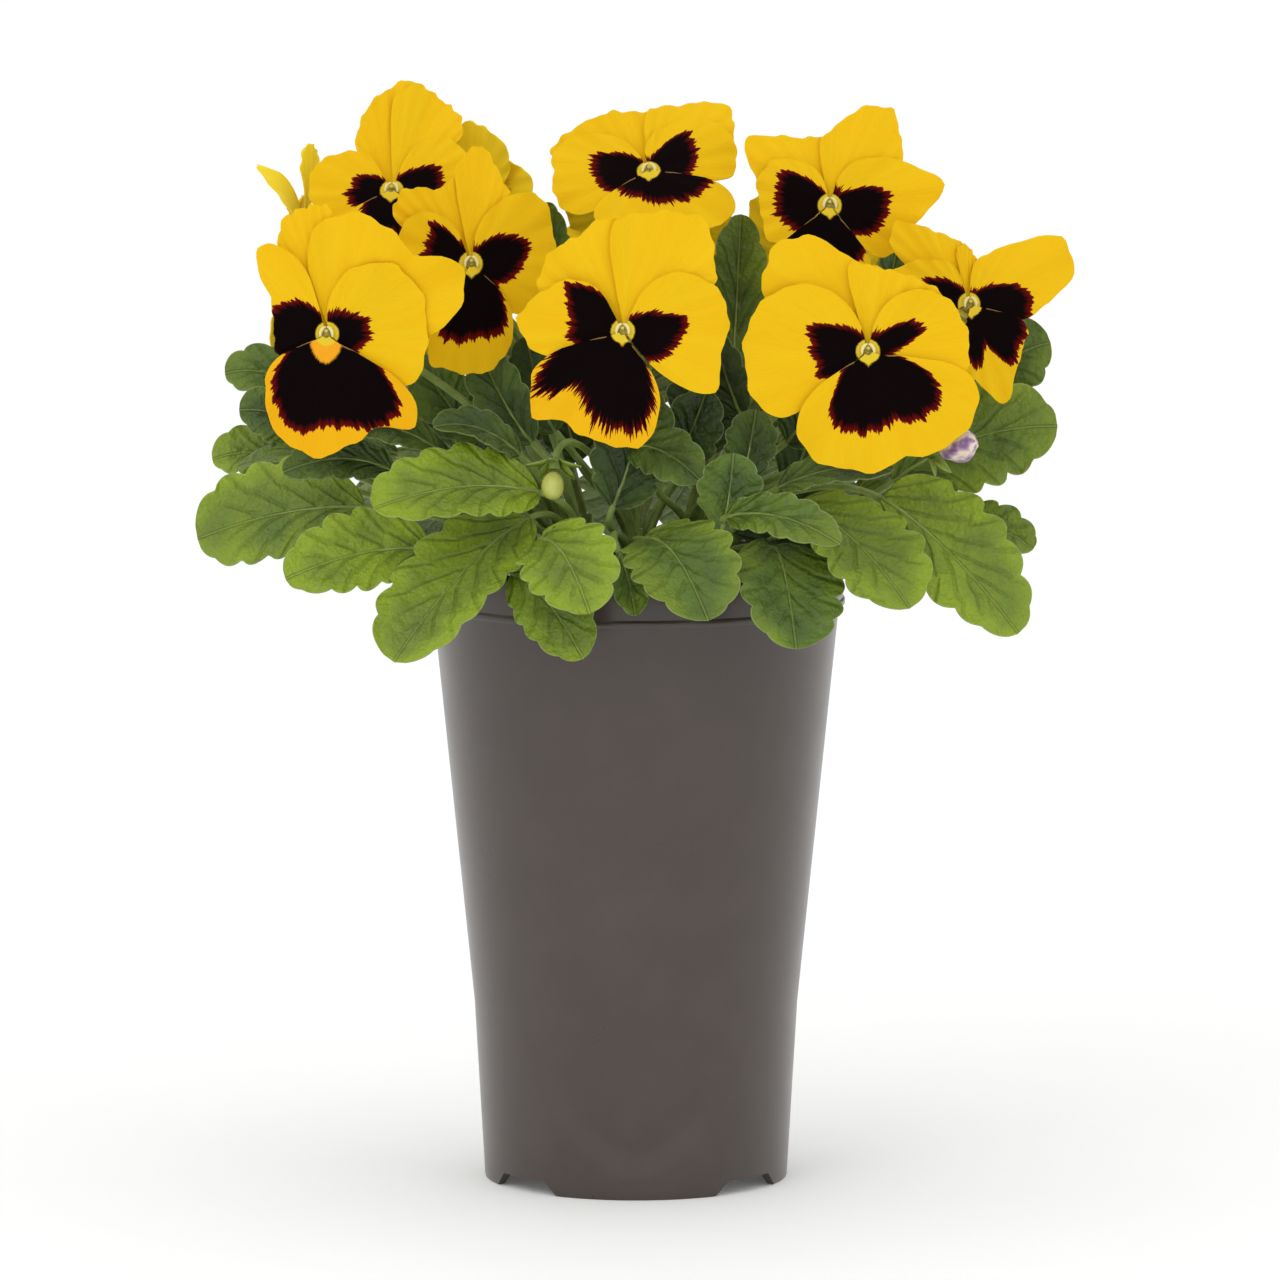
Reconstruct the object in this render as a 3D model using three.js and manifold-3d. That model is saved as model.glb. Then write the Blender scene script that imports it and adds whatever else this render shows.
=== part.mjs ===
// A potted pansy: a tall round nursery pot, its compost, leafy stems and large yellow blooms.
// Millimetres, +Z up. The origin is on the ground under the pot's axis, and the front faces -Y.
// Azimuths are in degrees round the pot's axis: 0 is the front, 90 is the right-hand side (+X).
import * as THREE from "three";
import { mergeVertices } from "three/addons/utils/BufferGeometryUtils.js";
import Module from "manifold-3d";

const wasm = await Module();
wasm.setup();

// Pot: a 13 cm, 19.5 cm tall moulded container
const POT_HEIGHT = 195;
const RIM_RADIUS = 65;
const RIM_BAND = 13; // height of the stepped band round the mouth
const RIM_BEAD = 0.6; // how far the bead under the band stands out
const KNEE_HEIGHT = 56; // where the wall's taper gets less
const KNEE_RADIUS = 50.9;
const UPPER_TAPER = 0.1024; // radius per millimetre of height above the knee
const LOWER_TAPER = 0.058; // and below it
const WALL = 1.4;
const FLOOR_UNDERSIDE = 6;
const FOOT_HEIGHT = 4.5;
const FOOT_WIDTH = 2.4;
const FRONT_FOOT_HALF_ANGLE = 37;
const SIDE_FOOT_HALF_ANGLE = 30;
const SCOOP_FOOT_HEIGHT = 11; // lowest point of the shallow scoop above each foot
const SCOOP_HALF_ANGLE = 46;
const POT_SEGMENTS = 28;
const DRAIN_HOLES = 6;
const DRAIN_RADIUS = 4.5;
const DRAIN_CIRCLE = 36;

// Compost
const SOIL_TOP = 184;
const SOIL_CROWN = 3; // how much higher the middle lies than the edge
const SOIL_GAP = 0.4;
const SOIL_SEGMENTS = 16;
const HOLE_DEPTH = 14;
const HOLE_CLEARANCE = 0.8;

// Plant
const STEM_RADIUS = 2.2;
const STEM_TOP = 208; // the leafy stems are short and hidden by their leaves
const PETIOLE_RADIUS = 1.1;
const LEAF_THICKNESS = 0.7;
const LEAF_CUP = 0.2; // how far a leaf's edges rise, as a share of its half width
const LONG_LEAF = 48; // leaves at least this long have four teeth a side, and others three
const SHORT_LEAF = 34; // but two on leaves shorter than this
const STALK_RINGS = 2;
const STALK_RISE = 16; // how far a leaf's stalk first rises above its blade
const TOOTH_DEPTH = 0.13;
const STALK_RADIUS = 1.2;
const PETAL_THICKNESS = 0.8;
const PETAL_ROOT = 1.2;
const BOSS_RADIUS = 3.6; // the throat and receptacle that the petals grow from
const BOSS_FRONT = 2.6;
const BOSS_BACK = -5;
const CALYX_GAP = 0.3;
const CALYX_DEPTH = 1.6;
const SEPAL_LENGTH = 9.5;
const RUFFLE = 1.6; // height of the waves at the edge of a petal of mean length
const MEAN_LENGTH = 34;

const radians = (degrees) => (degrees * Math.PI) / 180;
const smooth = (x) => {
  const t = Math.min(1, Math.max(0, x));
  return t * t * (3 - 2 * t);
};
// A repeatable draw from 0 to 1 for each whole number.
const draw = (n) => {
  const x = Math.sin(n * 127.1 + 311.7) * 43758.5453;
  return x - Math.floor(x);
};
const around = (azimuth, radius, height) =>
  new THREE.Vector3(
    radius * Math.sin(radians(azimuth)),
    -radius * Math.cos(radians(azimuth)),
    height,
  );

// Leafy stems: name, azimuth and distance of the root from the pot's axis
const SHOOTS = {
  front: [0, 24],
  front_right: [46, 24],
  right: [92, 24],
  back_right: [138, 24],
  back: [182, 24],
  back_left: [-138, 24],
  left: [-92, 24],
  front_left: [-46, 24],
  middle: [180, 4],
};

// Leaves: stem, tip and base of the blade, its width, how far it arches up between them, the
// azimuth and elevation that its upper side faces and, for some, where it is widest: most are so
// half-way from base to tip
const LEAVES = [
  ["front", [-14, -101, 191], [-28, -70, 210], 31, 5, [-5, 30]],
  ["front", [0, -74, 187], [-5, -64, 205], 12, 2, [0, 20]],
  ["front", [22, -94, 188], [4, -60, 209], 35, 6, [8, 34]],
  ["front", [4, -50, 255], [-7, -50, 218], 26, -3, [0, 15]],
  ["front", [-16, -84, 175], [-38, -66, 199], 23, 4, [-10, 22]],
  ["front", [20, -60, 227], [-4, -48, 236], 18, 4, [0, 15]],
  ["front_right", [49, -85, 178], [43, -56, 205], 35, 6, [18, 32]],
  ["front_right", [62, -90, 211], [28, -62, 216], 16, 4, [10, 25]],
  ["front_right", [84, -72, 189], [50, -46, 218], 36, 5, [24, 38], 0.56],
  ["front_right", [118, -55, 179], [76, -38, 219], 39, 4, [20, 30], 0.4],
  ["front_right", [30, -64, 236], [27, -60, 214], 21, -3, [5, 25]],
  ["front_right", [79, -66, 231], [44, -54, 224], 16, 3, [0, 50]],
  ["front_right", [22, -46, 254], [10, -46, 228], 20, -3, [-5, 15]],
  ["front_right", [24, -30, 270], [33, -34, 244], 15, -2, [-20, 15]],
  ["front_right", [37, -50, 248], [33, -54, 228], 17, -2, [5, 20]],
  ["right", [131, -24, 240], [80, -26, 223], 37, 5, [12, 28]],
  ["right", [124, -12, 200], [102, -8, 207], 18, 3, [30, 32]],
  ["right", [130, 8, 263], [100, 4, 242], 29, 4, [15, 28]],
  ["right", [110, 30, 190], [70, 16, 214], 30, 8, [90, 40]],
  ["right", [82, 6, 294], [74, 4, 266], 14, -3, [20, 10]],
  ["right", [58, -30, 262], [47, -22, 235], 19, -4, [10, 20]],
  ["right", [122, 22, 226], [78, 14, 230], 28, 8, [80, 45]],
  ["middle", [33, 24, 302], [30, 8, 252], 20, -5, [5, 12]],
  ["middle", [-28, 34, 305], [-22, 24, 274], 12, -3, [-10, 15]],
  ["middle", [-34, -22, 268], [-25, -20, 238], 19, -4, [-20, 20]],
  ["front_left", [-74, -84, 174], [-33, -48, 214], 38, 5, [-28, 32], 0.54],
  ["front_left", [-80, -84, 221], [-30, -56, 223], 31, 4, [-8, 42]],
  ["front_left", [-108, -56, 196], [-64, -52, 205], 29, 3, [-18, 32]],
  ["front_left", [-109, -46, 228], [-75, -42, 228], 15, 4, [-15, 25]],
  ["front_left", [-62, -64, 244], [-36, -50, 234], 16, 4, [-10, 50]],
  ["front_left", [-50, -32, 268], [-32, -34, 236], 18, -3, [-15, 20]],
  ["left", [-136.3, -26, 205], [-84, -36, 216], 37, 3, [-15, 34], 0.56],
  ["left", [-129, 10, 253], [-102, 4, 246], 20, 4, [-15, 35]],
  ["left", [-124, -5, 243], [-98, -10, 232], 21, 4, [-15, 30]],
  ["left", [-133, 8, 226], [-108, 4, 225], 20, 3, [-25, 40]],
  ["left", [-96, -46, 242], [-62, -34, 234], 18, 4, [-10, 50]],
  ["left", [-124, -14, 226], [-74, -22, 231], 17, 4, [-15, 68]],
  ["left", [-68, -22, 262], [-48, -16, 236], 19, -3, [-20, 25]],
  ["left", [-106, 32, 190], [-68, 16, 214], 29, 8, [-88, 40]],
  ["left", [-74, -9, 260], [-54, -10, 230], 20, -3, [-88, 12]],
  ["left", [-68, 27, 262], [-52, 24, 228], 24, -3, [-98, 14]],
  ["left", [-60, 9, 254], [-51, 6, 222], 28, -3, [-16, 15]],
  ["right", [76, -12, 262], [56, -13, 230], 22, -3, [88, 12]],
  ["right", [70, 26, 262], [52, 22, 228], 24, -3, [95, 14]],
  ["right", [58, 6, 252], [50, 4, 222], 28, -3, [14, 15]],
  ["middle", [24, 10, 264], [18, 6, 228], 28, -4, [20, 10]],
  ["middle", [-25, 4, 258], [-18, 4, 226], 20, -3, [-10, 10]],
  ["right", [68, -12, 204], [36, -8, 207], 28, 3, [10, 20]],
];

// The back of the plant, which follows one rule: each back stem has the same six places
const BACK_STEMS = ["back_right", "back", "back_left"];
const BACK_PLACES = [
  // tip's azimuth from the stem's own, distance and height, length, fall, width and arch
  [-17, 100, 182, 50, 34, 34, 10],
  [2, 94, 188, 40, 24, 31, 8],
  [18, 103, 205, 50, 16, 31, 9],
  [-10, 105, 224, 50, 4, 30, 9],
  [9, 94, 244, 42, -8, 27, 6],
  [-8, 68, 262, 32, -22, 24, -2],
];
const REACH_SPREAD = 5;
const HEIGHT_SPREAD = 5;
const AZIMUTH_SPREAD = 4;
const LENGTH_SPREAD = 0.18; // how far the petals of even blooms differ, as a share of their length
BACK_STEMS.forEach((stem, s) =>
  BACK_PLACES.forEach(([turn, reach, height, length, fall, width, arch], i) => {
    const seed = 20 * s + i;
    const azimuth = SHOOTS[stem][0] + turn + AZIMUTH_SPREAD * (draw(seed) - 0.5);
    const distance = reach + REACH_SPREAD * (draw(seed + 200) - 0.5);
    const top = height + HEIGHT_SPREAD * (draw(seed + 400) - 0.5);
    const level = Math.sqrt(length * length - fall * fall);
    const tip = around(azimuth, distance, top).toArray();
    const base = around(azimuth - 0.3 * turn, distance - level, top + fall).toArray();
    LEAVES.push([stem, tip, base, width, arch, [azimuth, fall > 0 ? 42 : 28]]);
  }),
);

// Blooms: the stem that carries it, the centre of its face, the face's yaw and pitch, the bend of
// each petal in degrees and the petals' outlines. The petals are in the order upper left, upper
// right, left, right and lower. An outline goes anticlockwise from one direction in the face to
// another, in degrees from the right, with the petal's length at even steps between them.
const BLOOMS = {
  a: {
    stem: "middle", at: [-76, -8, 312], yaw: -6, pitch: 30, bends: [0, -8, 12, -6, -6],
    petals: [
      [72, 132, [37, 41, 34, 26.5, 20]],
      [42, 95, [29, 34, 37, 39, 35]],
      [120, 215, [15.5, 20.5, 25, 26, 25, 22]],
      [-20, 75, [19, 22, 25, 26, 24, 14]],
      [210, 330, [19, 25, 27.5, 28, 26.5, 23.5, 19]],
    ],
  },
  b: {
    stem: "back_left", at: [-52, 24, 308], yaw: 152, pitch: 14, bends: [-12, -8, -14, 8, 0],
    petals: plainPetals(26, 300),
  },
  c: {
    stem: "left", at: [-107, 16, 302], yaw: -98, pitch: 8, bends: [14, 88, -10, -6, -10],
    petals: [
      [88, 160, [15, 24.5, 24, 13]],
      [-14, 60, [16, 28, 31, 18]],
      [140, 220, [9, 17, 16, 9]],
      [-40, 40, [9, 14, 14, 9]],
      [225, 315, [9, 14, 14, 14, 9]],
    ],
  },
  d: {
    stem: "front_left", at: [-94.5, -66, 273], yaw: -12, pitch: 4, bends: [14, 6, -8, -14, -6],
    petals: [
      [86, 124, [39, 40, 38.5, 29]],
      [-4, 108, [33, 41, 46, 36, 38.5, 38.5, 35, 29]],
      [108, 210, [25, 34.5, 21, 17.5, 17, 18]],
      [-42, 90, [28.5, 31.5, 31, 31.5, 30, 22, 11]],
      [205, 330, [21.5, 25, 33, 37, 38, 35, 32.5, 39, 33]],
    ],
  },
  e: {
    stem: "front_left", at: [-51, -38, 292], yaw: 8, pitch: 8, bends: [4, 0, 10, -20, -14],
    petals: [
      [92, 152, [28, 25, 31, 28]],
      [52, 100, [23, 28, 37, 30]],
      [110, 262, [14, 23, 24, 17, 18, 24, 14]],
      [-52, 80, [24, 25, 28, 30, 13]],
      [232, 318, [20, 33, 34, 34.5, 31, 24, 14]],
    ],
  },
  f: {
    stem: "middle", at: [4, -8, 318], yaw: 0, pitch: 38, bends: [0, -12, -10, -12, 6],
    petals: [
      [78, 165, [28, 25, 25, 27, 29.5, 32, 36]],
      [15, 95, [28.5, 31, 37.5, 33, 28, 24.5]],
      [115, 222, [9.5, 21, 31, 30, 30.5, 25]],
      [-8, 100, [25, 28.5, 30, 25, 17, 9.5]],
      [215, 352, [23.5, 25, 25.5, 26, 26, 27.5, 30.5, 30, 25]],
    ],
  },
  g: {
    stem: "front", at: [-4, -68, 274], yaw: -4, pitch: 8, bends: [-6, -12, -8, -12, 6],
    petals: [
      [85, 165, [34.5, 35.5, 32.5, 33.5, 31, 26.5]],
      [24, 100, [32, 36, 43, 40, 36.5, 35]],
      [118, 210, [15, 23, 28, 33, 28.5, 18]],
      [-50, 66, [19, 34.5, 31, 32, 33, 30, 24, 16]],
      [196, 306, [27.5, 32.5, 38, 33, 34.5, 35, 36.5, 29.5, 21]],
    ],
  },
  h: {
    stem: "right", at: [60, -26, 309], yaw: 2, pitch: 16, bends: [-14, -10, -12, -14, -14],
    petals: [
      [84, 168, [24, 23, 24.5, 29, 34.5, 26, 22]],
      [28, 100, [28, 31, 37.5, 33.5, 25.5, 21.5]],
      [100, 218, [9.5, 16, 22.5, 24, 21.5, 21.5, 23.5]],
      [-52, 74, [23.5, 25, 27.5, 37, 27.5, 19, 11]],
      [218, 308, [23.5, 28, 29.5, 29.5, 27.5, 24]],
    ],
  },
  i: {
    stem: "front_right", at: [71, -70, 268], yaw: 2, pitch: 8, bends: [-6, -10, -8, 0, -10],
    petals: [
      [70, 158, [26, 26.5, 29, 39, 43.5, 40, 34]],
      [25, 105, [29, 29, 27, 26, 26.5, 30]],
      [105, 222, [11, 24, 33, 37.5, 38, 38, 35.5]],
      [-25, 78, [29.5, 31, 31, 29, 22, 11]],
      [214, 352, [25, 34, 37, 37, 37, 34.5, 38, 38.5, 37.5, 33]],
    ],
  },
  j: {
    stem: "right", at: [103, -34, 279], yaw: 20, pitch: 8, bends: [-10, -20, -8, -6, -14],
    petals: [
      [80, 145, [18, 21, 25.5, 34, 29]],
      [60, 100, [13, 15, 19, 17]],
      [105, 200, [13, 17, 23, 28, 26, 19]],
      [-20, 82, [20, 25, 39.5, 39.5, 25, 17, 13]],
      [250, 345, [19.5, 22, 25.5, 34, 26.5, 22.5, 21, 20]],
    ],
  },
  m: {
    stem: "back_right", at: [62, 60, 276], yaw: 144, pitch: 10, bends: [-8, -10, -12, -8, 6],
    petals: plainPetals(34, 360),
  },
  n: {
    stem: "back", at: [4, 72, 281], yaw: 178, pitch: 6, bends: [-10, -6, -8, -14, 4],
    petals: plainPetals(34, 420),
  },
  o: {
    stem: "back_left", at: [-60, 62, 278], yaw: -148, pitch: 8, bends: [-8, -12, -14, -6, 8],
    petals: plainPetals(35, 480),
  },
  p: {
    stem: "right", at: [106, 44, 259], yaw: 112, pitch: 10, bends: [-10, -10, -20, -12, 4],
    petals: plainPetals(32, 540),
  },
  q: {
    stem: "left", at: [-106, 42, 262], yaw: -114, pitch: 10, bends: [-8, -10, -12, -16, 6],
    petals: plainPetals(32, 600),
  },
  r: {
    stem: "middle", at: [4, 40, 303], yaw: 176, pitch: 30, bends: [-6, -8, -12, -10, 4],
    petals: plainPetals(25, 660),
  },
};
// An even bloom, for those that are seen from the back and the sides; draws move each length.
function plainPetals(radius, seed) {
  const outlines = [
    [73, 163, [0.62, 0.98, 1, 0.62]],
    [17, 107, [0.62, 1, 0.97, 0.62]],
    [130, 226, [0.62, 1, 0.97, 0.62]],
    [-46, 50, [0.62, 0.98, 1, 0.62]],
    [212, 328, [0.6, 0.95, 1, 0.95, 0.6]],
  ];
  const length = (share, place) =>
    share * radius * (1 + LENGTH_SPREAD * (draw(seed + place) - 0.5));
  return outlines.map(([from, to, shares], k) => [
    from,
    to,
    shares.map((share, i) => length(share, 10 * k + i)),
  ]);
}
// The petals' middle directions, and their layers from behind the face to before it
const SIDES = [118, 62, 178, 2, 270];
const LAYERS = [-2.9, -1.5, 0, 0, 1.5];
const PETAL_ROWS = [0.5, 1]; // rows of points, as shares of the way from a petal's root to its edge

// A spent bloom that has rolled itself up, and a young seed pod on its calyx
const SPENT_BLOOM = {
  stem: "front_right", at: [99, -62, 238], yaw: 62, pitch: 14, length: 13, radius: 5.6,
};
const SEED_POD = { stem: "front", at: [-25.5, -64, 226], yaw: -8, pitch: -62, length: 9, radius: 3.6 };

const PALETTE = {
  pot: 0x55504d,
  soil: 0x2b211b,
  foliage: 0x587a34,
  petals: 0xf0c41c,
  spent: 0x9a7396,
  pod: 0xb9bd55,
};
const material = (colour, roughness) =>
  new THREE.MeshStandardMaterial({ color: colour, roughness, metalness: 0 });

// Solids and meshes
function solidOf(geometry) {
  const bare = geometry.clone();
  bare.deleteAttribute("normal");
  bare.deleteAttribute("uv");
  const merged = mergeVertices(bare, 1e-4);
  return new wasm.Manifold(
    new wasm.Mesh({
      numProp: 3,
      vertProperties: new Float32Array(merged.attributes.position.array),
      triVerts: new Uint32Array(merged.index.array),
    }),
  );
}
const joined = (solids) => solids.reduce((whole, solid) => whole.add(solid));
function meshOf(name, solid, looks) {
  const { vertProperties, triVerts } = solid.getMesh();
  const geometry = new THREE.BufferGeometry();
  geometry.setAttribute("position", new THREE.BufferAttribute(vertProperties, 3));
  geometry.setIndex(new THREE.BufferAttribute(triVerts, 1));
  geometry.computeVertexNormals();
  const mesh = new THREE.Mesh(geometry, looks);
  mesh.name = name;
  return mesh;
}

// A closed surface from rings of points; each ring is closed and holds the same number of points.
// The first and the last ring are filled with a fan, round their centre if they have a hub.
function ringSolid(rings, hub = true) {
  const count = rings[0].length;
  const points = rings.flat().concat(hub ? [rings[0], rings.at(-1)].map(centreOf) : []);
  const start = points.length - 2;
  const index = [];
  rings.slice(1).forEach((_, r) => {
    for (let i = 0; i < count; i++) {
      const a = r * count + i;
      const b = r * count + ((i + 1) % count);
      index.push(a, b, b + count, a, b + count, a + count);
    }
  });
  const last = (rings.length - 1) * count;
  for (let i = 0; i < count; i++) {
    const next = (i + 1) % count;
    if (hub) index.push(start, next, i, start + 1, last + i, last + next);
    else if (i && next) index.push(0, next, i, last, last + i, last + next);
  }
  const geometry = new THREE.BufferGeometry().setFromPoints(points);
  geometry.setIndex(index);
  return solidOf(geometry);
}
// A flat ring of points with a low point before it and a low point behind it.
function domedSolid(ring, face, behind, before) {
  const points = [...ring, inFace(face, 0, 0, behind), inFace(face, 0, 0, before)];
  const count = ring.length;
  const geometry = new THREE.BufferGeometry().setFromPoints(points);
  const sides = ring.map((_, i) => [i, (i + 1) % count]);
  geometry.setIndex(sides.flatMap(([a, b]) => [b, a, count, a, b, count + 1]));
  return solidOf(geometry);
}
function centreOf(ring) {
  const sum = ring.reduce((total, p) => total.add(p), new THREE.Vector3());
  return sum.divideScalar(ring.length);
}

// A thin blade that fans out from its root to rows of points on its middle surface, and is half
// its thickness to both sides. Both faces are split into triangles alike, so that they stay apart
// where the blade waves.
function bladeSolid(root, rows, half) {
  const middle = [root, ...rows.flat()];
  const above = middle.map((p) => p.clone().add(half));
  const points = above.concat(middle.map((p) => p.clone().sub(half)));
  const under = middle.length;
  const columns = rows[0].length;
  const at = (r, c) => 1 + r * columns + c;
  const face = [];
  for (let c = 0; c + 1 < columns; c++) face.push([0, at(0, c), at(0, c + 1)]);
  for (let r = 0; r + 1 < rows.length; r++)
    for (let c = 0; c + 1 < columns; c++) {
      face.push([at(r, c), at(r + 1, c + 1), at(r, c + 1)]);
      face.push([at(r, c), at(r + 1, c), at(r + 1, c + 1)]);
    }
  const index = face.flatMap(([a, b, c]) => [a, b, c, c + under, b + under, a + under]);
  const last = rows.length - 1;
  const outer = rows[last].map((_, c) => at(last, columns - 1 - c));
  const edge = [0];
  for (let r = 0; r < last; r++) edge.push(at(r, columns - 1));
  edge.push(...outer);
  for (let r = last - 1; r >= 0; r--) edge.push(at(r, 0));
  edge.forEach((a, i) => {
    const b = edge[(i + 1) % edge.length];
    index.push(a, b + under, a + under, a, b, b + under);
  });
  const geometry = new THREE.BufferGeometry().setFromPoints(points);
  geometry.setIndex(index);
  return solidOf(geometry);
}

// A tube along a curve, with a regular section.
function tubeSolid(curve, radius, sides, steps) {
  const section = new THREE.Shape();
  for (let i = 0; i < sides; i++) {
    const turn = (i / sides) * 2 * Math.PI;
    section[i ? "lineTo" : "moveTo"](radius * Math.cos(turn), radius * Math.sin(turn));
  }
  return solidOf(
    new THREE.ExtrudeGeometry(section, { steps, extrudePath: curve, bevelEnabled: false }),
  );
}

// Pot
function outerRadius(height) {
  const taper = height > KNEE_HEIGHT ? UPPER_TAPER : LOWER_TAPER;
  return KNEE_RADIUS + taper * (height - KNEE_HEIGHT);
}
// Below the knee the upper cone goes on inside a shallow scoop over the front and the back foot.
// The scoop's lower edge is a U: lowest over the foot's middle and rising to the knee at its sides.
function scoopDepth(turn, height) {
  if (height >= KNEE_HEIGHT) return 0;
  const off = Math.abs(((turn + 90) % 180) - 90) / SCOOP_HALF_ANGLE;
  if (off > 1) return 0;
  const edge = SCOOP_FOOT_HEIGHT + (KNEE_HEIGHT - SCOOP_FOOT_HEIGHT) * off * off;
  const cone = KNEE_RADIUS + UPPER_TAPER * (height - KNEE_HEIGHT);
  return (outerRadius(height) - cone) * smooth((height - edge) / 9 + 0.5);
}
const innerRadius = (height) =>
  KNEE_RADIUS + UPPER_TAPER * (height - KNEE_HEIGHT) - WALL;

function potSolid() {
  const bandFoot = POT_HEIGHT - RIM_BAND;
  const outer = [0.6, 11, 18, 28, 40, KNEE_HEIGHT, bandFoot - 0.6];
  const footRadius = outerRadius(0);
  const profile = [
    [DRAIN_CIRCLE * 0.1, FLOOR_UNDERSIDE],
    [footRadius - FOOT_WIDTH - 1, FLOOR_UNDERSIDE],
    [footRadius - FOOT_WIDTH, 0],
    [footRadius - 0.6, 0],
    ...outer.map((z) => [outerRadius(z), z, true]),
    [RIM_RADIUS + RIM_BEAD, bandFoot],
    [RIM_RADIUS + RIM_BEAD, bandFoot + 1.6],
    [RIM_RADIUS, bandFoot + 2.4],
    [RIM_RADIUS, POT_HEIGHT - 0.5],
    [RIM_RADIUS - 0.5, POT_HEIGHT],
    [innerRadius(POT_HEIGHT), POT_HEIGHT],
    [innerRadius(SOIL_TOP), SOIL_TOP],
    [innerRadius(FLOOR_UNDERSIDE + 6), FLOOR_UNDERSIDE + 6],
    [innerRadius(FLOOR_UNDERSIDE + WALL) - 1.5, FLOOR_UNDERSIDE + WALL],
    [DRAIN_CIRCLE * 0.1, FLOOR_UNDERSIDE + WALL],
  ];
  const rings = profile.map(([radius, z, scooped]) =>
    Array.from({ length: POT_SEGMENTS }, (_, i) => {
      const turn = (360 * i) / POT_SEGMENTS;
      return around(turn, radius - (scooped ? scoopDepth(turn, z) : 0), z);
    }),
  );
  let pot = ringSolid(rings);
  for (let quarter = 0; quarter < 4; quarter++) pot = pot.subtract(notchCutter(quarter));
  for (let i = 0; i < DRAIN_HOLES; i++) {
    const hole = new THREE.CylinderGeometry(DRAIN_RADIUS, DRAIN_RADIUS, 8, 8);
    hole.rotateX(Math.PI / 2);
    const at = around((360 * (i + 0.5)) / DRAIN_HOLES, DRAIN_CIRCLE, FLOOR_UNDERSIDE);
    hole.translate(at.x, at.y, at.z);
    pot = pot.subtract(solidOf(hole));
  }
  return pot;
}
// The gap between two feet, with ends at 45 degrees.
function notchCutter(quarter) {
  const from = FRONT_FOOT_HALF_ANGLE;
  const to = 90 - SIDE_FOOT_HALF_ANGLE;
  const half = outerRadius(0) * Math.sin(radians((to - from) / 2));
  const gap = new THREE.Shape([
    new THREE.Vector2(-half - FOOT_HEIGHT, -1),
    new THREE.Vector2(half + FOOT_HEIGHT, -1),
    new THREE.Vector2(half, FOOT_HEIGHT),
    new THREE.Vector2(-half, FOOT_HEIGHT),
  ]);
  const cutter = new THREE.ExtrudeGeometry(gap, { depth: 12, bevelEnabled: false });
  cutter.rotateX(Math.PI / 2);
  cutter.translate(0, -outerRadius(0) + 7, 0);
  const middle = (from + to) / 2;
  const turn = quarter % 2 ? 90 * quarter + 90 - middle : 90 * quarter + middle;
  cutter.rotateZ(radians(turn));
  return solidOf(cutter);
}

// Compost, with a crumbly domed top and a plain hole for each stem
function soilSolid() {
  const floor = FLOOR_UNDERSIDE + WALL + SOIL_GAP;
  const ring = (radius, height, rough) =>
    Array.from({ length: SOIL_SEGMENTS }, (_, i) => {
      const lift = rough ? 2 * rough * (draw(i + Math.round(radius)) - 0.5) : 0;
      return around((360 * i) / SOIL_SEGMENTS, radius, height + lift);
    });
  const edge = innerRadius(SOIL_TOP) - SOIL_GAP;
  const dome = (share) => SOIL_TOP + SOIL_CROWN * (1 - share * share);
  let soil = ringSolid([
    ring(innerRadius(floor) - 4, floor, 0),
    ring(innerRadius(FLOOR_UNDERSIDE + 8) - SOIL_GAP, FLOOR_UNDERSIDE + 8, 0),
    ring(edge - 1, SOIL_TOP - 2, 0),
    ring(edge * 0.75, dome(0.75), 1),
    ring(edge * 0.4, dome(0.4), 1),
  ]);
  for (const [azimuth, distance] of Object.values(SHOOTS)) {
    const radius = STEM_RADIUS + HOLE_CLEARANCE;
    const hole = new THREE.CylinderGeometry(radius, radius, 40, 6);
    hole.rotateX(Math.PI / 2);
    const at = around(azimuth, distance, SOIL_TOP - HOLE_DEPTH + 20);
    hole.translate(at.x, at.y, at.z);
    soil = soil.subtract(solidOf(hole));
  }
  return soil;
}

// Leaves
// Two curves: the stalk, which leaves the stem upwards, and the midrib, which goes on from it.
function leafLines([stem, tipAt, baseAt, , arch], order) {
  const [azimuth, distance] = SHOOTS[stem];
  const root = around(azimuth, distance, SOIL_TOP + 3 + 2.6 * order);
  const tip = new THREE.Vector3(...tipAt);
  const base = new THREE.Vector3(...baseAt);
  const crown = base.clone().lerp(tip, 0.45).add(new THREE.Vector3(0, 0, 2 * arch));
  const level = Math.hypot(base.x - root.x, base.y - root.y);
  const first = root.clone().lerp(base, 0.12);
  first.z = Math.max(root.z + STALK_RISE, root.z + 0.45 * (base.z - root.z));
  const onward = crown.clone().sub(base).normalize();
  const second = base.clone().addScaledVector(onward, -0.35 * level - 3);
  return {
    stalk: new THREE.CubicBezierCurve3(root, first, second, base),
    midrib: new THREE.QuadraticBezierCurve3(base, crown, tip),
  };
}
// Half the blade's width at a share v of its length, with rounded teeth; crests and notches
// take turns from row to row.
function halfWidth(v, width, widest, row) {
  const rise = (0.5 * widest) / (1 - widest);
  const peak = Math.pow(widest, rise) * Math.sqrt(1 - widest);
  const plain = ((width / 2) * Math.pow(v, rise) * Math.sqrt(Math.max(0, 1 - v))) / peak;
  const notched = row % 2 === 0 && row > 1 ? 1 - TOOTH_DEPTH : 1;
  return Math.max(plain * notched, 1.1);
}
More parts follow.
